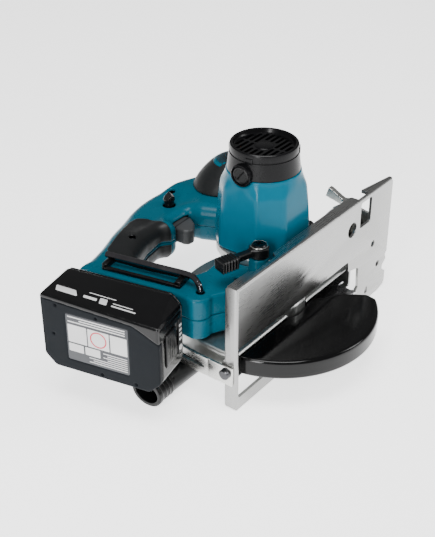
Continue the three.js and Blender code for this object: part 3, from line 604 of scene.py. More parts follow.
def build_brush_caps():
    """Screw-in caps with a coin slot."""
    for name, side in (("front", 1), ("rear", -1)):
        near, far = 27 * side, 35.5 * side
        lip = far - side * 1.2
        profile = [(0, near), (8.2, near), (8.4, near + side * 0.3), (8.4, lip), (8.0, far - side * 0.3),
                   (7.4, far), (6.6, far), (6.2, far - side * 0.5), (0, far - side * 0.6)]
        cap = turned([(r, h + MOTOR[0]) for r, h in profile], (MOTOR[1], CAP_Z), "x", 48)
        low, high = cap_side(side, 33.2, 38)
        slot = block(low, -0.8, -5.6, high, 0.8, 5.6, 0.1, 1)
        slot = moved(slot, turned_about((0, MOTOR[1], CAP_Z), 38, "X"))
        piece(f"brush_screw_cap_{name}", cut(cap, slot), BLACK, "saw_body", [f"brush_cap_{name}"],
              "black_plastic", 40)


# ------------------------------------------------------------------ handle shells
def from_battery(d, s):
    return (d * cos(TILT) - s * sin(TILT), d * sin(TILT) + s * cos(TILT))


HANDLE_RIM = fillet(
    arc((13, 52), 14, 200, 285, 8) + [(40, 26), (62, 16), (84, 14), (100, 20), (150, 60)]
    + spline([(150, 60), (196, 96), (218, 124), (226, 152), (216, 180), (190, 196), (160, 205.9),
              (130, 208.9), (98, 204), (62, 190), (22, 174), (-8, 166)], 6)[1:]
    + [from_battery(13, 160), from_battery(16, 152), from_battery(16, 72)], 5, 3)
FINGER_GAP = fillet([(30, 74), (46, 68), (68, 70), (90, 84), (128, 94), (139, 110), (142, 126),
                     (134, 144), (132, 157), (105, 157), (101, 146), (91, 146), (84, 153), (60, 149),
                     (36, 140), (20, 126)], 9, 5)
NOSE = [(108, 11.4), (219, 23.4)] + arc(DEPTH_PIVOT, 8.6, -80, 80, 8) + [(120, 56.6)]


def case_outline(arbor_r, motor_r):
    """The gear case seen from above: round the arbor and round the motor."""
    return arc(ARBOR, arbor_r, 170, 315, 16) + arc(MOTOR, motor_r, -15, 145, 20)


# the first screw shows through the rubber pad
HANDLE_SCREWS = [(50, 158), (150, 193), (205, 112), (52, 36), (30, 96)]


def handle_top(x, y):
    """The upper face dips along the back of the grip, around the lock knob."""
    across = smooth_step(148, 172, y)
    return SHELL[1] - 5 * across * (1 - smooth_step(140, 168, x)) * smooth_step(40, 90, x)


def handle_field(g):
    flat = without(g.outline(HANDLE_RIM), g.outline(FINGER_GAP))
    grip = smooth_step(66, 110, g.y + 0 * g.x)
    near_seat = smooth_step(2, 22, local(g.x, g.y, (0, 0), TILT)[0] - 14)
    rounding = 3.0 + 9.5 * grip * near_seat
    return g.slab(flat, SHELL[0], handle_top(g.x, g.y), rounding)


def build_handle():
    """A hollow shell, open for the gear case, the nose and the pack's core, in two halves."""
    g = Grid((-26, 12.5, 55.5), (228, 211, 116.8), 0.9)
    solid = handle_field(g)
    boss = g.rod(LEVER, 9, 88, 115.7, 0.8)
    shell = blend_union(solid, boss, 3.0)
    shell = without(shell, solid + SKIN)
    room = g.rod(MOTOR, 43.1, 40, 130)
    case = g.plate(case_outline(22.8, 36.6), 40, 130, 0)
    nose = g.plate(NOSE, 61, 81, 0)
    trigger_slot = g.plate(rectangle(104.7, 148, 131.8, 172), 67.7, 86.3, 1)
    shell = blend_cut(shell, 1.0, room, case, nose, trigger_slot)
    wrench_hole = g.rod(from_battery(26.2, 45.5), 4.0, 82, 120, 0.3)
    shell = blend_cut(shell, 0.8, wrench_hole, g.rod(LOCK, 6.4, 84, 120, 0.3))
    for x, y in HANDLE_SCREWS:
        shell = blend_cut(shell, 0.6, g.rod((x, y), 3.9, float(handle_top(x, y)) - 5, 120, 0.3))
    d, s = local(g.x, g.y, (0, 0), TILT)
    shell = without(shell, overlap(d - 16, 5 - d, abs(s - 97) - 19.5, abs(g.z - PACK_MID_Z) - 14.5))
    right = overlap(shell, SPLIT_Z + GAP / 2 - g.z)
    left = overlap(shell, g.z - SPLIT_Z + GAP / 2)
    for side, half in (("right", right), ("left", left)):
        piece(f"handle_shell_{side}", g.mesh(half), TEAL_SATIN, "saw_body", [f"housing_{side}"],
              "teal_plastic", 60)


def build_screws():
    """Cross-head screws sunk in the right shell, the first in a dark sleeve that fills the pad's hole:
    the sleeve is painted shade for the shadowed inside of that hole.
    """
    for i, (x, y) in enumerate(HANDLE_SCREWS):
        seat = float(handle_top(x, y)) - 5.4
        head = rod((x, y), 3.3, seat, seat + 2.4, rim=0.6, sides=32)
        for turn in (30, 120):
            bar = block(-2.2, -0.45, 1.4, 2.2, 0.45, 4, 0)
            head = cut(head, moved(bar, turned_about((x, y, seat), turn)))
        # the dark steel sleeve up the pad's hole is painted shade for the shadowed hole; the screw head
        # under it is real
        if i == 0:
            head = together(head, tube((x, y), 3.8, 3.3, seat, 98.3, rim=0.15))
        piece(f"housing_screw_{i + 1}", head, DARK_STEEL, "saw_body", sharp=40)


PAD_REGION = fillet([(21.5, 104), (11, 151), (20, 163), (46, 173), (74, 184), (86, 185), (92, 176),
                     (93, 160), (92, 138), (70, 128), (40, 120), (30, 104)], 7, 4)


def build_grip_pads():
    """Rubber pads that lie just proud of the grip, one on each half."""
    g = Grid((-8, 98, 53.5), (112, 200, 100.4), 0.8)
    body = handle_field(g)
    proud = without(body - 1.1, body + 0.25)
    region = g.outline(PAD_REGION)
    for name, limit, side in (("right", 79.0, 1), ("left", 75.0, -1)):
        edge = overlap(region, side * (limit - g.z))
        pad = smooth_max(proud, edge, 1.2)
        pad = blend_cut(pad, 0.6, g.rod(HANDLE_SCREWS[0], 3.6, 92, 110, 0.3))
        piece(f"grip_cover_{name}", g.mesh(pad), RUBBER, "saw_body", [f"grip_pad_{name}"],
              "grip_rubber", 60)


def build_front_grip():
    """A leaning rubber dome with a coloured inlay near its crest."""
    g = Grid((155, 118, 97), (226, 190, 130.6), 0.7)
    t = np.clip((g.z - 97.8) / 32.2, 0, 1)
    radius = 29 * (1 - t ** 2.6) ** (1 / 2.6)
    lean = smooth_step(-0.2, 1.0, t)
    flat = np.hypot(g.x - 186 - 12 * lean, g.y - 158 + 10 * lean) - radius
    dome = g.slab(flat, 97.8, 130, 1.0)
    piece("front_grip_cover", g.mesh(dome), RUBBER, "saw_body", ["front_grip"], "grip_rubber", 60)
    crest = abs((g.x - 190) * 0.62 + (g.y - 150) * 0.78 - 4) - 12
    inlay = overlap(without(dome - 0.25, dome + 0.8), crest, 123.5 - g.z)
    piece("front_grip_inlay", g.mesh(inlay), TEAL_SATIN, "saw_body", slot="teal_plastic", sharp=60)


# ------------------------------------------------------------------ controls
def build_trigger():
    shape = fillet([(105.8, 162.7), (105.8, 142), (108.5, 137.4), (115, 136.3), (125, 143.2),
                    (130.7, 152), (130.7, 162.7)], 4, 5)
    finger = prism(shape, 68.7, 85.3, rim=2.6, steps=4)
    piece("trigger_blade", finger, GREY, "trigger", ["trigger"], "grey_plastic", 40)
    ridge = prism(fillet([(106.2, 152), (130.2, 153), (130.2, 155), (106.2, 154)], 0.5, 2), 68.55, 85.45,
                  rim=0.3)
    piece("trigger_ridge", ridge, DARK_GREY, "trigger", slot="grey_plastic")


def build_buttons():
    g = Grid((119, 169, 90), (137, 187, 105.6), 0.35)
    radius = g.radius(LOCK)
    waist = 5.0 + 1.0 * smooth_step(96, 99.5, g.z)
    stem = g.slab(radius - waist, 91.2, 104.9, 1.2)
    slope = 0.75 * (g.z - 104.9) + 0.62 * abs((g.x - LOCK[0]) * 0.8 - (g.y - LOCK[1]) * 0.6 - 1.2)
    piece("lock_off_knob", g.mesh(smooth_max(stem, slope, 1.6)), BLACK, "lock_off", ["lock_off_button"],
          "black_plastic", 60)
    button = turned([(0, 146.5), (2.6, 146.5), (3, 147), (3, 160), (4.3, 160), (4.6, 160.4), (4.6, 169),
                     (4.2, 170.3), (3.2, 171), (0, 171)], SHAFT_LOCK, "x", 40)
    piece("spindle_lock_button", button, BLACK, "shaft_lock", ["shaft_lock_button"], "black_plastic", 40)


def build_depth_lever():
    """A ribbed lever on a hub, with its washer and cross-head bolt."""
    g = Grid((22, 8, 112), (84, 56, 127.6), 0.5)
    x, y = local(g.x, g.y, LEVER, radians(162.4))
    hub = g.rod(LEVER, 9, 116.1, 126, 1.0)
    neck = g.slab(overlap(abs(y) - 3.9, abs(x - 15) - 14), 118.2, 125, 2.2)
    pad_flat = overlap(abs(y) - 6.6, abs(x - 34) - 9)
    pad = g.slab(pad_flat, 114.2, 125.4, 2.2) - 0.55 * np.cos(x * 2 * pi / 3.0)
    lever = blend_union(blend_union(hub, neck, 3.0), pad, 2.5)
    lever = without(lever, g.rod(LEVER, 3.2, 100, 140))
    piece("depth_lever_arm", g.mesh(lever), BLACK, "depth_clamp", ["depth_lever"], "black_plastic", 60)
    ring = turned([(6.6, 126.3), (8.0, 126.3), (8.1, 126.6), (8.0, 127.1), (7.6, 127.3), (6.6, 126.9)],
                  LEVER, sides=64)
    piece("depth_lever_washer", ring, STEEL, "depth_clamp", slot="bright_steel")
    head = turned([(0, 104.5), (3, 104.5), (3, 126.3), (6.5, 126.3), (6.6, 127.4), (5.8, 128.3),
                   (4.0, 128.5), (0, 128.5)], LEVER, sides=48)
    for turn in (20, 110):
        bar = block(-3.4, -0.75, 127, 3.4, 0.75, 130, 0)
        head = cut(head, moved(bar, turned_about((*LEVER, 0), turn)))
    piece("depth_lever_screw", head, BLACKENED, "depth_clamp", ["depth_lever_bolt"], "dark_steel", 40)


# ------------------------------------------------------------------ wrench and its clip
def in_battery_frame(mesh):
    return moved(mesh, Matrix.Rotation(TILT, 4, "Z"))


def pack_piece(name, mesh, *says, **more):
    """A piece drawn in the battery's own axes."""
    piece(name, in_battery_frame(mesh), *says, **more)


def build_wrench():
    """A bent hex key, its short leg in the hole of the right shell."""
    route = [(33, 142, 107.2), (33, 112, 107.2), (33, 84, 107.2), (33, 66, 107.2), (31.6, 55.5, 106.9),
             (28.4, 49.0, 104.2), (26.6, 46.2, 99.8), (26.2, 45.5, 95), (26.2, 45.5, 84.2)]
    path = spline([(*from_battery(d, s), z) for d, s, z in route], 8)
    section = fillet(hexagon((0, 0), 2.9, 15), 0.5, 2)
    piece("hex_key", swept(path, section), WRENCH_METAL, "wrench", ["hex_wrench"], "dark_chrome", 30)


def build_clip():
    """Two long bars joined by a block at each end."""
    z = SHELL[1] + GAP
    parts = [block(21.5, 63, z, 25.3, 141, z + 3.4, 1.2), block(22, 136, z, 38.5, 141, z + 6.2, 1.2),
             block(22, 63, z, 38.5, 69, z + 6.2, 1.2), block(38.2, 63, z - 4, 41, 141, z + 6, 1.0)]
    clip = join(*parts)
    pack_piece("wrench_holder", clip, BLACK, "saw_body", ["wrench_clip"], "black_plastic", 40)


# ------------------------------------------------------------------ battery pack
LABEL = -47.7
FACE = LABEL + 0.8
PACK_LOW, PACK_HIGH = 48.0, 161.0
PACK_Z = (36.0, 111.0)


def pack_outline(inset):
    s0, s1 = PACK_LOW + inset, PACK_HIGH - inset
    z0, z1 = PACK_Z[0] + inset, PACK_Z[1] - inset
    lower = 10.5
    return fillet([(s0, z0 + lower), (s0 + lower, z0), (s1 - lower, z0), (s1, z0 + lower),
                   (s1, z1 - 4), (s1 - 4, z1), (s0 + 9, z1), (s0, z1 - 9)], 6, 5)


def pack_top(d, s):
    """Height of the pack's sloping upper face."""
    ridge = PACK_Z[1] - 2 - 6.2 * (PACK_HIGH - s) / (PACK_HIGH - PACK_LOW)
    return PACK_Z[1] + (ridge - PACK_Z[1]) * np.clip((-d - 8) / 39, 0, 1)


def build_battery():
    """The pack's case, and its lighter label face with a sunk window."""
    g = Grid((-48.6, 47, 35), (10, 162, 112), 0.75)
    body_flat = g.outline(pack_outline(0), "yz")
    ridge = pack_top(LABEL, g.y)
    leaning = overlap(body_flat, (g.z - pack_top(g.x, g.y)) * 0.97)
    whole = g.slab(leaning, LABEL, -5, 2.0, across=g.x)
    cup = fillet([(PACK_LOW - 9, PACK_Z[0] - 9), (PACK_HIGH + 9, PACK_Z[0] - 9), (PACK_HIGH + 9, 105),
                  (PACK_HIGH - 4, 104.2), (PACK_LOW + 24, 99.5), (PACK_LOW + 1.5, 88),
                  (PACK_LOW - 9, 80)], 14, 6)
    seam = overlap(g.x + 41.5, g.outline(cup, "yz"))
    face = smooth_max(overlap(whole, FACE - g.x), seam + 0.25, 0.6)
    black = smooth_max(whole, -seam + 0.25, 0.6)
    window = g.outline(fillet(rectangle(76.5, 47, 137.5, 94.5), 2, 3), "yz")
    face = blend_cut(face, 0.4, overlap(window, g.x - FACE - 0.5))
    for s, z in ((71, 40), (104, 40), (150, 70), (146, 100), (107, 97)):
        face = blend_cut(face, 0.3, g.rod((s, z), 1.4, FACE - 2, FACE + 1.6, 0.2, "x"))
    hollow = overlap(g.outline(pack_outline(3), "yz"), g.z - ridge + 3.5)
    hollow = g.slab(hollow, LABEL + 8, 0, 1, across=g.x)
    black = without(black, hollow)
    latch_pocket = overlap(abs(g.x + 25) - 11, abs(g.z - PACK_MID_Z) - 16, g.y - PACK_LOW - 1.6)
    gauge_pocket = overlap(abs(g.x + 9.5) - 3.5, abs(g.z - PACK_MID_Z) - 18, g.y - PACK_LOW - 0.8)
    scoop = g.plate([(-37, 60), (-12, 66), (-12, 82), (-37, 88)], 40, PACK_LOW + 1.0, 0.5, "xz")
    black = blend_cut(black, 0.6, latch_pocket, gauge_pocket, scoop)
    for z in (97.5, 104.5):
        groove = overlap(abs(g.z - z) - 0.5, g.y - PACK_LOW - 0.9, -(g.x + 34))
        black = blend_cut(black, 0.4, groove)
    pack_piece("battery_shell", g.mesh(black), GLOSS_BLACK, "battery", ["battery_case"],
          "battery_black", 60)
    pack_piece("battery_face", g.mesh(face), LABEL_GREY, "battery", slot="battery_black",
          sharp=60)


def on_label(s0, z0, s1, z1, proud, round_=0.6):
    """A thin printed patch on the label face; depth grows away from the saw."""
    outline = fillet(rectangle(s0, z0, s1, z1), round_, 2)
    return prism(outline, FACE + 0.5 - proud, FACE + 0.56, rim=0.02, plane="yz", steps=1)


def build_label():
    panel = on_label(76.8, 47.3, 137.2, 94.2, 0.08, 1.6)
    pack_piece("label_panel", panel, PANEL_GREY, "battery", slot="gauge_grey")
    fields = [on_label(78.5, 66, 94.5, 84, 0.16), on_label(95.6, 66, 116.2, 84, 0.16),
              on_label(117.3, 66, 135.5, 84, 0.16), on_label(105, 56.5, 119.5, 64.5, 0.16),
              on_label(121, 56.5, 135.5, 64.5, 0.16)]
    lines = [on_label(80, 86.4 + 2.4 * i, 135 - 11 * (i % 2), 87.5 + 2.4 * i, 0.13, 0.3)
             for i in range(3)]
    lines += [on_label(79, 49.6 + 2.1 * i, 102 + 14 * (i < 3) - 4 * (i % 2), 50.4 + 2.1 * i, 0.13, 0.2)
              for i in range(7)]
    pack_piece("label_fields", together(*fields, *lines), PRINT_WHITE, "battery",
          slot="gauge_grey")
    ring_at = (106, 75)
    ring = prism(circle(ring_at, 8, 40), FACE + 0.28, FACE + 0.5, rim=0.02,
                 holes=[circle(ring_at, 6.8, 40)], plane="yz", steps=1)
    pack_piece("label_ring", ring, PRINT_RED, "battery", slot="gauge_grey")


def build_top_marks():
    """Plain printed shapes on the pack's upper face: a slanted block and a few bars."""
    shapes = [[(-38, 150), (-31.5, 153), (-31.5, 134), (-38, 129)],
              [(-37, 124), (-34, 125), (-34, 112), (-37, 111)],
              rectangle(-30, 122, -29.2, 96), [(-38.5, 108), (-32, 110), (-32, 103), (-38.5, 101)],
              rectangle(-38, 97, -36.6, 74), rectangle(-34.6, 97, -33.8, 78)]
    marks = together(*[prism(fillet(shape, 0.8, 2), -0.4, 0.07, rim=0.02, steps=1) for shape in shapes])
    for vertex in marks.vertices:
        vertex.co.z += float(pack_top(vertex.co.x, vertex.co.y))
    pack_piece("top_marks", marks, PRINT_WHITE, "battery", slot="gauge_grey")


def build_battery_cover():
    """The lid towards the saw; its raised core has a groove on each side for the rails."""
    g = Grid((-6, 47, 35), (10, 162, 112), 0.8)
    lid = g.plate(pack_outline(0.8), -4.7, -2, 0.8, "yz")
    core_line = fillet(rectangle(63, 49, 147, 98), 4, 4)
    core = g.plate(core_line, -3, 9, 1.2, "yz")
    cover = blend_union(lid, core, 1.0)
    inner = g.plate(fillet(rectangle(68, 54, 141, 93), 2, 3), -6, 6.5, 0.5, "yz")
    cover = without(cover, inner)
    for z in (49, 98):
        rail = overlap(abs(g.z - z) - 1.5, abs(g.x - 2.7) - 2.8, abs(g.y - 99.5) - 41.5)
        cover = blend_cut(cover, 0.5, rail)
    pack_piece("battery_lid", g.mesh(cover), GLOSS_BLACK, "battery", ["battery_cover"],
          "battery_black", 60)


def build_battery_controls():
    latch = block(-35.6, 46.7, 58.5, -18.1, 49.2, 89.5, 0.8, 4)
    grooves = [block(-30 + 3.2 * i, 45, 63, -29 + 3.2 * i, 47.3, 85, 0.2, 1) for i in range(3)]
    pack_piece("battery_release", cut(latch, *grooves), BLACK, "battery_release",
          ["battery_latch"], "battery_black")
    window = block(-12.7, 47.5, 56.4, -6.3, 48.5, 91.6, 0.3, 2)
    pack_piece("gauge_window", window, DARK_GREY, "battery", ["battery_gauge"], "gauge_grey")
    bars = [block(-11.6, 47.2, 70 + 4.6 * i, -7.6, 47.7, 72.2 + 4.6 * i, 0.12, 1) for i in range(4)]
    pack_piece("gauge_bars", together(*bars), PRINT_WHITE, "battery", slot="gauge_grey")
    button = turned([(0, 46.9), (2.3, 46.9), (2.7, 47.3), (2.7, 48), (0, 48)], (-9.6, 62.5), "y", 32)
    pack_piece("gauge_button", button, PRINT_WHITE, "battery", slot="gauge_grey")


# ------------------------------------------------------------------ base
SOLE_LENGTH, SOLE_WIDTH = 259, 126
SHEET = 3


def bent_sheet():
    """The pressed sole: a flat sheet with a turned-up edge at the back and along the motor side."""
    front = SOLE_LENGTH
    sole_line = fillet([(0, 1.5), (1.5, 0), (246, 0), (257, 3), (front, 7), (front, 18), (252, 23),
                        (252, 28), (front, 33), (256, 38.5), (front, 42), (258.5, 122),
                        (254, SOLE_WIDTH), (0, SOLE_WIDTH)], 2.2, 4)
    opening = fillet([(4, 13), (4, 65), (181, 65), (182.5, 53.5), (202, 49), (204, 26), (190, 13)],
                     2.5, 4)
    depth_slot = fillet(rectangle(198.6, 94.3, 218.4, 121.2), 2.5, 4)
    holes = [opening, depth_slot, circle((184.3, 99), 7.6, 40), circle((227.5, 64.4), 3.4, 28),
             circle((240.9, 35), 3.2, 28),
             fillet(rectangle(219, 9, 224, 16.5), 2.2, 4)]
    sole = prism(sole_line, 0, SHEET, rim=0.35, holes=holes, plane="xz")
    rear = prism(fillet([(0, 1.5), (0, SOLE_WIDTH), (12, 124), (12, 52), (15, 48), (15, 34), (12, 30),
                         (12, 1.5)], 1.6, 3), 0, SHEET, rim=0.3, plane="yz")
    side = fillet([(0, 0), (196.5, 0), (196.5, 10.5), (190, 12), (68, 12), (64, 6.5), (34, 6.5),
                   (30, 11), (0, 11)], 2.0, 3)
    toe = fillet([(214, 0), (257, 0), (257, 4), (216, 10.5), (214, 10.5)], 1.2, 3)
    edges = [prism(line, SOLE_WIDTH - SHEET, SOLE_WIDTH, rim=0.3) for line in (side, toe)]
    sheet = join(sole, rear, *edges)
    sheet = cut(sheet, outer_bend("x", 0, SOLE_LENGTH), outer_bend("z", 0, SOLE_WIDTH))
    return cut(sheet, rod(BEVEL_AXIS, 3.2, -2, 6, "x", rim=0.1))


def outer_bend(axis, low, high):
    """The sliver taken off outside a bend, leaving a rounded fold."""
    r = 2.6
    if axis == "x":
        rim = [(-1, SOLE_WIDTH - r), (-1, SOLE_WIDTH + 1), (r, SOLE_WIDTH + 1)]
        curve = [(r - r * sin(a), SOLE_WIDTH - r + r * cos(a)) for a in np.linspace(0, pi / 2, 7)]
        return prism(rim + curve, low - 1, high + 1, rim=0, plane="yz")
    rim = [(r, -1), (-1, -1), (-1, r)]
    curve = [(r - r * cos(a), r - r * sin(a)) for a in np.linspace(0, pi / 2, 7)]
    return prism(rim + curve, low - 1, high + 1, rim=0)


def build_base():
    piece("sole_sheet", bent_sheet(), SOLE, "base", ["base_plate"], "plate_aluminium", 35)


WING_R = 56.5
WING_AT = polar(BEVEL_AXIS, WING_R, 58.5)


def build_bevel_scale():
    """A quadrant plate with a curved slot and ten engraved marks."""
    rim = [(3.4, 28)] + arc(BEVEL_AXIS, 61.5, 0, 66, 40) + [(3.4, 92)]
    slot = arc(BEVEL_AXIS, WING_R + 3.2, 8, 62, 36) + arc(BEVEL_AXIS, WING_R - 3.2, 62, 8, 36)
    plate = prism(fillet(rim, 2.5, 4), 232.3, 235, rim=0.3, holes=[slot], plane="yz")
    marks = []
    for i in range(10):
        inner = 45.5 if i % 3 == 0 else 48.5
        a = polar(BEVEL_AXIS, inner, 12 + i * 5)
        b = polar(BEVEL_AXIS, 51.5, 12 + i * 5)
        along_mark = Vector((b[0] - a[0], b[1] - a[1])).normalized() * 0.28
        line = [(a[0] - along_mark.y, a[1] + along_mark.x), (a[0] + along_mark.y, a[1] - along_mark.x),
                (b[0] + along_mark.y, b[1] - along_mark.x), (b[0] - along_mark.y, b[1] + along_mark.x)]
        marks.append(prism(line, 234.7, 236, rim=0, plane="yz"))
    piece("bevel_scale_sheet", cut(plate, *marks), SOLE, "base", ["bevel_scale_plate"],
          "plate_aluminium", 35)


def build_front_bracket():
    """A bent bracket with two ears, and the pins of the depth and bevel hinges."""
    low, high = DEPTH_PIVOT[1] - 9, DEPTH_PIVOT[1] + 9
    line = fillet(rectangle(DEPTH_PIVOT[0] - 8, low, 231.5, high), 4, 4)
    ears = [prism(line, z0, z1, rim=0.4) for z0, z1 in ((58.7, 61.7), (80.3, 83.3))]
    front = prism(fillet([(9, 34.6), (4, 39.2), (4, 50), (18, 84), (40, 95), (50, 88), (48, 78),
                          (high, 58.7), (14, 34)], 4, 4), 229, 232, rim=0.4, plane="yz")
    bracket = join(front, *ears)
    bracket = cut(bracket, rod(DEPTH_PIVOT, 4.3, 50, 90), rod(WING_AT, 3.3, 226, 236, "x"),
                  rod(BEVEL_AXIS, 3.4, 226, 236, "x"))
    piece("front_bracket_sheet", bracket, STEEL, "depth_frame", ["front_bracket"], "dark_steel", 35)
    pin = turned([(0, 54.6), (4.4, 54.6), (5.6, 55.4), (6.4, 57), (6.4, 58.3), (4, 58.3), (4, 86.4),
                  (3.4, 87), (0, 87)], DEPTH_PIVOT, sides=40)
    piece("depth_pivot_bolt", pin, DARK_STEEL, "saw_body", ["depth_pivot_pin"], "steel")
    front_pin = turned([(0, 226), (3, 226), (3, 235.3), (3.8, 235.4), (4, 236), (3.6, 238.3), (2.8, 239),
                        (0, 239)], BEVEL_AXIS, "x", 40)
    piece("bevel_pivot_front", front_pin, DARK_STEEL, "depth_frame", ["bevel_pin_front"], "steel")
    rear_pin = turned([(0, -8), (3.9, -8), (4.9, -7.2), (5, -3.7), (3, -3.6), (3, 5), (0, 5)], BEVEL_AXIS,
                      "x", 40)
    piece("bevel_pivot_rear", rear_pin, DARK_STEEL, "depth_frame", ["bevel_pin_rear"], "steel")


def build_bevel_lever():
    """A wing lever that widens to its tip, with a sunk groove, on a stud."""
    g = Grid((233, 26, 77), (247, 68, 108), 0.45)
    y, z = local(g.y, g.z, WING_AT, radians(17))
    width = 3.1 + 1.9 * smooth_step(8, 27, y)
    blade = overlap(abs(z) - width, abs(y - 13) - 13.5, abs(g.x - 241.4 - 0.06 * y) - 2.6)
    blade = without(blade, overlap(abs(z) - width + 2.2, abs(y - 17) - 7.5, 242.4 - g.x))
    boss = g.rod(WING_AT, 6.4, 235.5, 246, 1.0, "x")
    lever = blend_union(boss, blade - 0.4, 2.5)
    lever = blend_cut(lever, 0.4, g.rod(WING_AT, 3.3, 244.6, 250, 0.2, "x"))
    piece("bevel_wing", g.mesh(lever), GUIDE_METAL, "bevel_clamp", ["bevel_lever"], "plate_aluminium", 60)
    stud = turned([(0, 225.5), (3, 225.5), (3, 245.2), (2.6, 245.6), (0, 245.6)], WING_AT, "x", 32)
    piece("bevel_stud", stud, STEEL, "bevel_clamp", slot="bright_steel")


def build_depth_guide():
    """A slotted arc about the depth pivot, with a lug at the bevel pin."""
    inner, outer = DEPTH_PIVOT[0] + GAP, DEPTH_PIVOT[0] + 3.3
    strip = arc(DEPTH_PIVOT, outer, 161, 181.6, 30) + arc(DEPTH_PIVOT, inner, 181.6, 161, 30)
    slot = arc(DEPTH_PIVOT, outer + 5, 163.5, 180, 24) + arc(DEPTH_PIVOT, inner - 5, 180, 163.5, 24)
    lug = block(DEPTH_PIVOT[0] - outer, 2, 28.3, DEPTH_PIVOT[0] - inner, 27, 47, 0.5, 2)
    band = prism(strip, 28.3, 47, rim=0.4)
    guide = cut(join(band, lug), prism(slot, 35.5, 40, rim=0), rod(BEVEL_AXIS, 3.4, -8, 6, "x"))
    piece("depth_guide_arm", guide, GUIDE_METAL, "depth_frame", ["depth_guide"], "cast_aluminium", 35)


# ------------------------------------------------------------------ guards, gear case
def build_lower_guard():
    """A hollow moving guard with a hooked lip and three small dishes."""
    g = Grid((8, -68, 30.5), (196, 120, 51), 0.85)
    angle = np.degrees(np.arctan2(g.y - ARBOR[1], g.x - ARBOR[0]))
    radius = g.radius(ARBOR)
    swing = np.where(angle > -100, angle, angle + 360)
    outline = ([polar(ARBOR, 91.85, a) for a in np.linspace(176, 313, 60)]
               + [(165.5, -31), (153, -12), (133, 2)] + arc(ARBOR, 33, -20, 172, 30) + [(40, 26)])
    flat = g.outline(fillet(outline, 5, 4))
    outside = g.slab(flat, 31.5, 50, 3.2)
    drum = g.slab(radius - 90, 33.5, 48, 1.6)
    pocket = g.plate(fillet([polar(ARBOR, 90, a) for a in np.linspace(172, 330, 60)]
                                     + arc(ARBOR, 24, -20, 172, 30), 3, 3), 33.5, 48, 1.2)
    shell = without(outside, drum, pocket)
    hook_flat = overlap(abs(radius - 92.9) - 1.95, abs(swing - 310.5) - 2.5)
    hook = g.slab(hook_flat, 34, 47.5, 0.8)
    shell = blend_union(shell, hook, 1.0)
    for at, r in ((200, 74), (238, 74), (276, 74)):
        x, y = polar(ARBOR, r, at)
        dish = np.sqrt((g.x - x) ** 2 + (g.y - y) ** 2 + ((g.z - 30.3) * 2.2) ** 2) - 3.4
        shell = blend_cut(shell, 0.5, dish)
    shell = without(shell, g.rod(ARBOR, 24.4, 45, 55))
    piece("moving_guard", g.mesh(shell), GUARD_BLACK, "swing_guard", ["lower_guard"], "guard_black", 60)


def build_guard_lever():
    g = Grid((22, 18, 4), (80, 62, 54), 0.6)
    x, y = local(g.x, g.y, ARBOR, radians(165))
    arm = g.slab(overlap(abs(y) - 4.2 - 0.8 * smooth_step(40, 70, x), abs(x - 50) - 22), 22.5, 27, 1.4)
    hub = without(g.slab(overlap(abs(np.hypot(x, y) - 32.5) - 4.4, abs(y) - 16), 22.6, 53.6, 0.6), x)
    knob_at = polar(ARBOR, 70, 165)
    knob = g.rod(knob_at, 7.1, 5, 26.5, 2.2)
    ribs = abs(((g.z - 8) % 3.4) - 1.7) - 0.5
    groove_floor = g.radius(knob_at) - 6.6
    knob = without(knob, overlap(ribs, g.z - 19, -groove_floor))
    lever = blend_union(blend_union(arm, hub, 1.5), knob, 2.0)
    piece("guard_retract_lever", g.mesh(lever), BLACK, "swing_guard", ["guard_lever"],
          "black_plastic", 60)


def build_upper_guard():
    """A drum open towards the sole, its face open round the hub, with a port for the dust."""
    g = Grid((3, 3.5, 27.4), (200, 124, 54.3), 0.9)
    radius = g.radius(ARBOR)
    outside = g.slab(overlap(radius - 97, 5 - g.y), 28, 53.7, 3.0)
    inside = g.slab(radius - 94.7, 30.3, 51.4, 1.5)
    shell = without(outside, inside)
    window = g.slab(radius - 40, 20, 31.5, 0)
    gap = overlap(abs(g.x - ARBOR[0]) - 40, g.y - ARBOR[1], g.z - 31.5)
    port = overlap(abs(g.x - 15) - 7, abs(g.y - NOZZLE_Y) - 10, g.z - 31.5)
    shell = blend_cut(shell, 0.5, window, gap, port, g.rod(ARBOR, 24.4, 49, 60))
    rib = g.slab(abs(radius - 62) - 1.3, 27.9, 29, 0.4)
    shell = blend_union(shell, overlap(rib, 20 - g.y), 0.6)
    piece("fixed_guard", g.mesh(shell), CAST, "saw_body", ["upper_guard"], "cast_aluminium", 60)


def build_gear_case():
    """A hollow casting with bearing seats, a motor collar and the depth pivot's nose."""
    g = Grid((72, 2.5, 45), (228, 101, 104.6), 0.9)
    body = g.plate(case_outline(22.2, 36), 54, 94, 2.0)
    collar = g.rod(MOTOR, 42.4, 94, 104, 1.2)
    case = blend_union(body, collar, 3.0)
    case = blend_union(case, g.rod(ARBOR, 23.9, 46.5, 60, 0.6), 1.5)
    case = blend_union(case, g.plate([(108, 12), (219, 24)] + arc(DEPTH_PIVOT, 8, -80, 80, 6)
                                              + [(120, 56)], 62, 80, 1.4), 2.0)
    room = g.plate(case_outline(20.2, 34), 67, 91, 0.8)
    case = without(case, room)
    for at, r, low, high in ((ARBOR, 19, 45, 55), (ARBOR, 14.3, 57, 67.5), (ARBOR, 9, 45, 67.5),
                             (ARBOR, 11, 85, 93), (ARBOR, 6.6, 85, 94.5), (MOTOR, 8.4, 90, 104.5),
                             (MOTOR, 28, 103.5, 106), (DEPTH_PIVOT, 4.4, 60, 82), (IDLER, 2.9, 59.5, 94)):
        case = without(case, g.rod(at, r, low, high, 0))
    case = without(case, g.rod(SHAFT_LOCK, 3.5, 138, 160, 0, "x"))
    for turn in (-38, -2, 34, 150, 196):
        x, y = polar(MOTOR, 38.6, turn)
        case = blend_cut(case, 0.4, g.rod((x, y), 2.6, 101, 110, 0.2))
    piece("gear_case", g.mesh(case), CAST, "saw_body", ["gear_housing"], "cast_aluminium", 60)


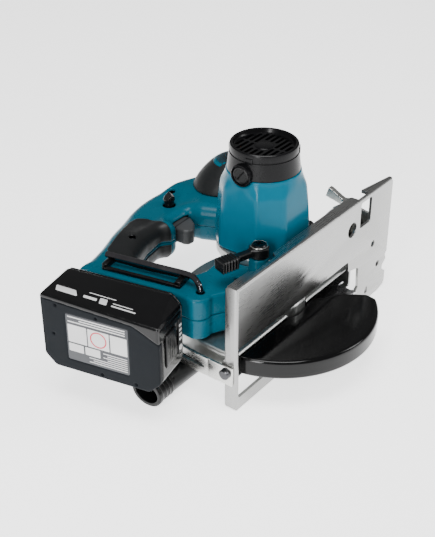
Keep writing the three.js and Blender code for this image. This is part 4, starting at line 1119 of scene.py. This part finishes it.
def build_dust_nozzle():
    """An oval spout with three ribs."""
    g = Grid((-41, 50, -1), (26, 86, 29), 0.6)

    def oval(x0, x1, ry, rz, rounding):
        k = np.sqrt(((g.y - NOZZLE_Y) / ry) ** 2 + ((g.z - NOZZLE_Z) / rz) ** 2)
        return g.slab((k - 1) * min(ry, rz), x0, x1, rounding, across=g.x)

    spout = blend_union(oval(-38, 22, 14.9, 11.9, 0.6), oval(-39.9, -35, 16.5, 13.5, 1.0), 1.6)
    for at in (-30, -25.5, -21):
        spout = blend_union(spout, oval(at - 0.7, at + 0.7, 15.6, 12.6, 0.3), 0.5)
    spout = blend_union(spout, g.plate(rectangle(6, 56, 24, 80), 10, 27.6, 1.0), 1.5)
    spout = blend_cut(spout, 0.6, oval(-42, 18, 12.5, 9.5, 0))
    spout = without(spout, g.plate(rectangle(9, 59, 21, 77), 12, 32, 0))
    piece("dust_spout", g.mesh(spout), BLACK, "saw_body", ["dust_nozzle"], "black_plastic", 60)


# ------------------------------------------------------------------ blade and its fittings
TEETH = 24
BLADE_R = 82.5


def spiral(start, end, r0, r1, steps):
    """An arc about the arbor whose radius goes from r0 to r1."""
    return [polar(ARBOR, r0 + (r1 - r0) * i / steps, start + (end - start) * i / steps)
            for i in range(steps + 1)]


def build_blade():
    """A toothed disc with four heat slots that end in round holes, and its carbide tips."""
    step = 360 / TEETH
    tooth = []
    for i in range(TEETH):
        a = i * step
        tooth += [polar(ARBOR, r, a + turn * step)
                  for r, turn in ((BLADE_R, 0), (81.9, 0.1), (81.0, 0.24))]
        tooth += spiral(a + 0.3 * step, a + 0.62 * step, 79.2, 77.4, 3)
        tooth += spiral(a + 0.7 * step, a + 0.9 * step, 74.7, 74.4, 3)
        tooth.append(polar(ARBOR, 76, a + 0.965 * step))
    slots, ends = [], []
    for i in range(4):
        turn = 90 * i + 12
        u = Vector(polar((0, 0), 1, turn))
        v = Vector((-u.y, u.x))
        corners = [Vector(ARBOR) + u * r + v * half
                   for r, half in ((62.5, 0.55), (76, 0.45), (76, -0.45), (62.5, -0.55))]
        slots.append(prism([tuple(p) for p in corners], 39, 43, rim=0))
        ends.append(rod(polar(ARBOR, 62, turn), 1.6, 39, 43, rim=0, sides=24))
    disc = prism(tooth, 40.4, 41.6, rim=0, holes=[circle(ARBOR, 10, 48)])
    disc = cut(disc, *slots, *ends)
    piece("blade_disc", disc, BLADE_METAL, "blade_spindle", ["saw_blade"], "blade_steel", 30)
    tips = []
    for i in range(TEETH):
        line = [polar(ARBOR, r, i * step + turn)
                for r, turn in ((BLADE_R, 0), (81.95, 0.9), (78.6, 0.5), (78.9, -0.35))]
        tips.append(prism(line, 40.15, 41.85, rim=0.1))
    piece("blade_tips", together(*tips), MACHINED, "blade_spindle", slot="blade_steel", sharp=20)
    outer = turned([(4.5, 39.6), (10.4, 39.6), (10.5, 39.9), (16.8, 39.9), (17, 39.6), (17, 37.6),
                    (16.6, 37.2), (12.2, 34.2), (11.8, 34), (4.5, 34)], ARBOR, sides=72)
    piece("outer_clamp_flange", outer, MACHINED, "blade_spindle", ["outer_flange"], "steel")
    socket = prism(hexagon(ARBOR, 2.9), 26, 31, rim=0)
    head = turned([(0, 27.5), (7.4, 27.5), (8, 28.1), (8, 33.2), (7.7, 33.7), (4, 33.7), (4, 58),
                   (0, 58)], ARBOR, sides=48)
    piece("arbor_bolt", cut(head, socket), DARK_STEEL, "blade_spindle", ["blade_bolt"], "dark_steel", 35)


# ------------------------------------------------------------------ materials of the inner pieces
def clear_glass():
    """Moulded clear plastic with faint haze and flow marks."""
    surface = Surface("clear_lens")
    place = surface.place()
    surface.gloss(surface.noise(place, 260, 4), 0.05, 0.18)
    surface.bump(surface.noise(place, 120, 2), 0.02, 0.4)
    surface.inputs["Base Color"].default_value = (0.9, 0.93, 0.95, 1)
    surface.inputs["Transmission Weight"].default_value = 0.9
    surface.inputs["IOR"].default_value = 1.49
    return surface.material


LENS = clear_glass()
CARBON = moulded("carbon", (0.02, 0.02, 0.021), 0.5, grain=2400, depth=0.04)
CELL_WRAP = moulded("cell_wrap", (0.03, 0.12, 0.16), 0.35, grain=2000, depth=0.006)


def build_lamp():
    line = fillet([(138.2, 21), (143, 22), (143, 29), (138.2, 30)], 1.2, 4)
    piece("lamp_window", prism(line, 82, 90, rim=0.6, steps=3), LENS, "saw_body", ["lamp_lens"],
          "clear_lens")


def build_inner_flange():
    ring = turned([(6.3, 40), (9.7, 40), (9.7, 42), (16.6, 42), (17, 42.4), (17, 44.8), (10, 47.5),
                   (6.3, 47.5)], ARBOR, sides=72)
    piece("inner_clamp_flange", ring, MACHINED, "blade_spindle", ["inner_flange"], "steel")


INNER = {
    "grey_plastic": (DARK_GREY, ["switch_unit", "terminal_block"]),
    "steel": (STEEL, ["spindle", "idler_pin", "motor_shaft", "guard_spring"]),
    "machined": (MACHINED, ["drive_gear", "idler_gear", "motor_pinion", "spindle_bearing_front",
                            "spindle_bearing_rear", "motor_bearing_lower", "motor_bearing_upper"]),
    "dark_steel": (DARK_STEEL, ["motor_yoke"]),
    "magnet": (DARK_GREY, ["field_magnet_front", "field_magnet_rear"]),
    "copper": (COPPER, ["armature_core", "commutator"]),
    "black": (BLACK, ["cooling_fan"]),
    "carbon": (CARBON, ["carbon_brush_front", "carbon_brush_rear"]),
    "cell_wrap": (CELL_WRAP, ["battery_cells"]),
}


def finish_inner_pieces():
    for material, names in INNER.values():
        for name in names:
            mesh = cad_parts[name].data
            mesh.materials.clear()
            mesh.materials.append(material)


# ------------------------------------------------------------------ build everything
for build in (
        build_motor_housing, build_end_cover, build_brush_caps, build_handle, build_screws,
        build_grip_pads, build_front_grip, build_trigger, build_buttons, build_depth_lever,
        build_wrench, build_clip, build_battery, build_label, build_top_marks, build_battery_cover,
        build_battery_controls, build_base, build_bevel_scale, build_front_bracket,
        build_bevel_lever, build_depth_guide, build_lower_guard, build_guard_lever,
        build_upper_guard, build_gear_case, build_dust_nozzle, build_blade, build_lamp,
        build_inner_flange, finish_inner_pieces):
    build()


# ------------------------------------------------------------------ floor, light and camera
def build_floor():
    bm = bmesh.new()
    half = 6.0
    corners = rectangle(-half, -half, half, half)
    bm.faces.new([bm.verts.new((x, y, 0)) for x, y in corners])
    mesh = bpy.data.meshes.new("floor")
    bm.to_mesh(mesh)
    bm.free()
    floor = linked("floor", mesh)
    surface = Surface("floor")
    surface.inputs["Base Color"].default_value = (0.9, 0.9, 0.9, 1)
    surface.inputs["Roughness"].default_value = 0.7
    surface.inputs["Emission Color"].default_value = (1, 1, 1, 1)
    surface.inputs["Emission Strength"].default_value = 1.9
    mesh.materials.append(surface.material)


def aim(thing, at, direction):
    thing.location = at
    thing.rotation_mode = "QUATERNION"
    thing.rotation_quaternion = direction.to_track_quat("-Z", "Y")


def soft_light(name, at, look_at, size, power):
    data = bpy.data.lights.new(name, "AREA")
    data.shape = "RECTANGLE"
    data.size, data.size_y = size
    data.energy = power
    lamp = linked(name, data)
    aim(lamp, Vector(at), Vector(look_at) - Vector(at))


def light_room():
    world = bpy.data.worlds.new("studio")
    world.use_nodes = True
    sky = world.node_tree.nodes["Background"]
    sky.inputs["Color"].default_value = (1.0, 1.0, 1.0, 1)
    sky.inputs["Strength"].default_value = 0.26
    bpy.context.scene.world = world
    soft_light("overhead", (-0.25, -0.15, 1.35), (0, 0, 0.08), (0.9, 0.6), 17)
    soft_light("left_box", (-1.1, -0.3, 0.5), (0, 0, 0.1), (0.2, 0.8), 11)
    soft_light("right_box", (0.75, -1.05, 0.8), (0, 0, 0.1), (0.4, 0.7), 8)


def place_camera():
    data = bpy.data.cameras.new("camera")
    data.sensor_width = 36
    data.lens = 69.72
    camera = linked("camera", data)
    aim(camera, ORIGIN + Vector((-571.66, -415.71, 585.76)) * MM, Vector((0.676, 0.515, -0.527)))
    bpy.context.scene.camera = camera


build_floor()
light_room()
place_camera()
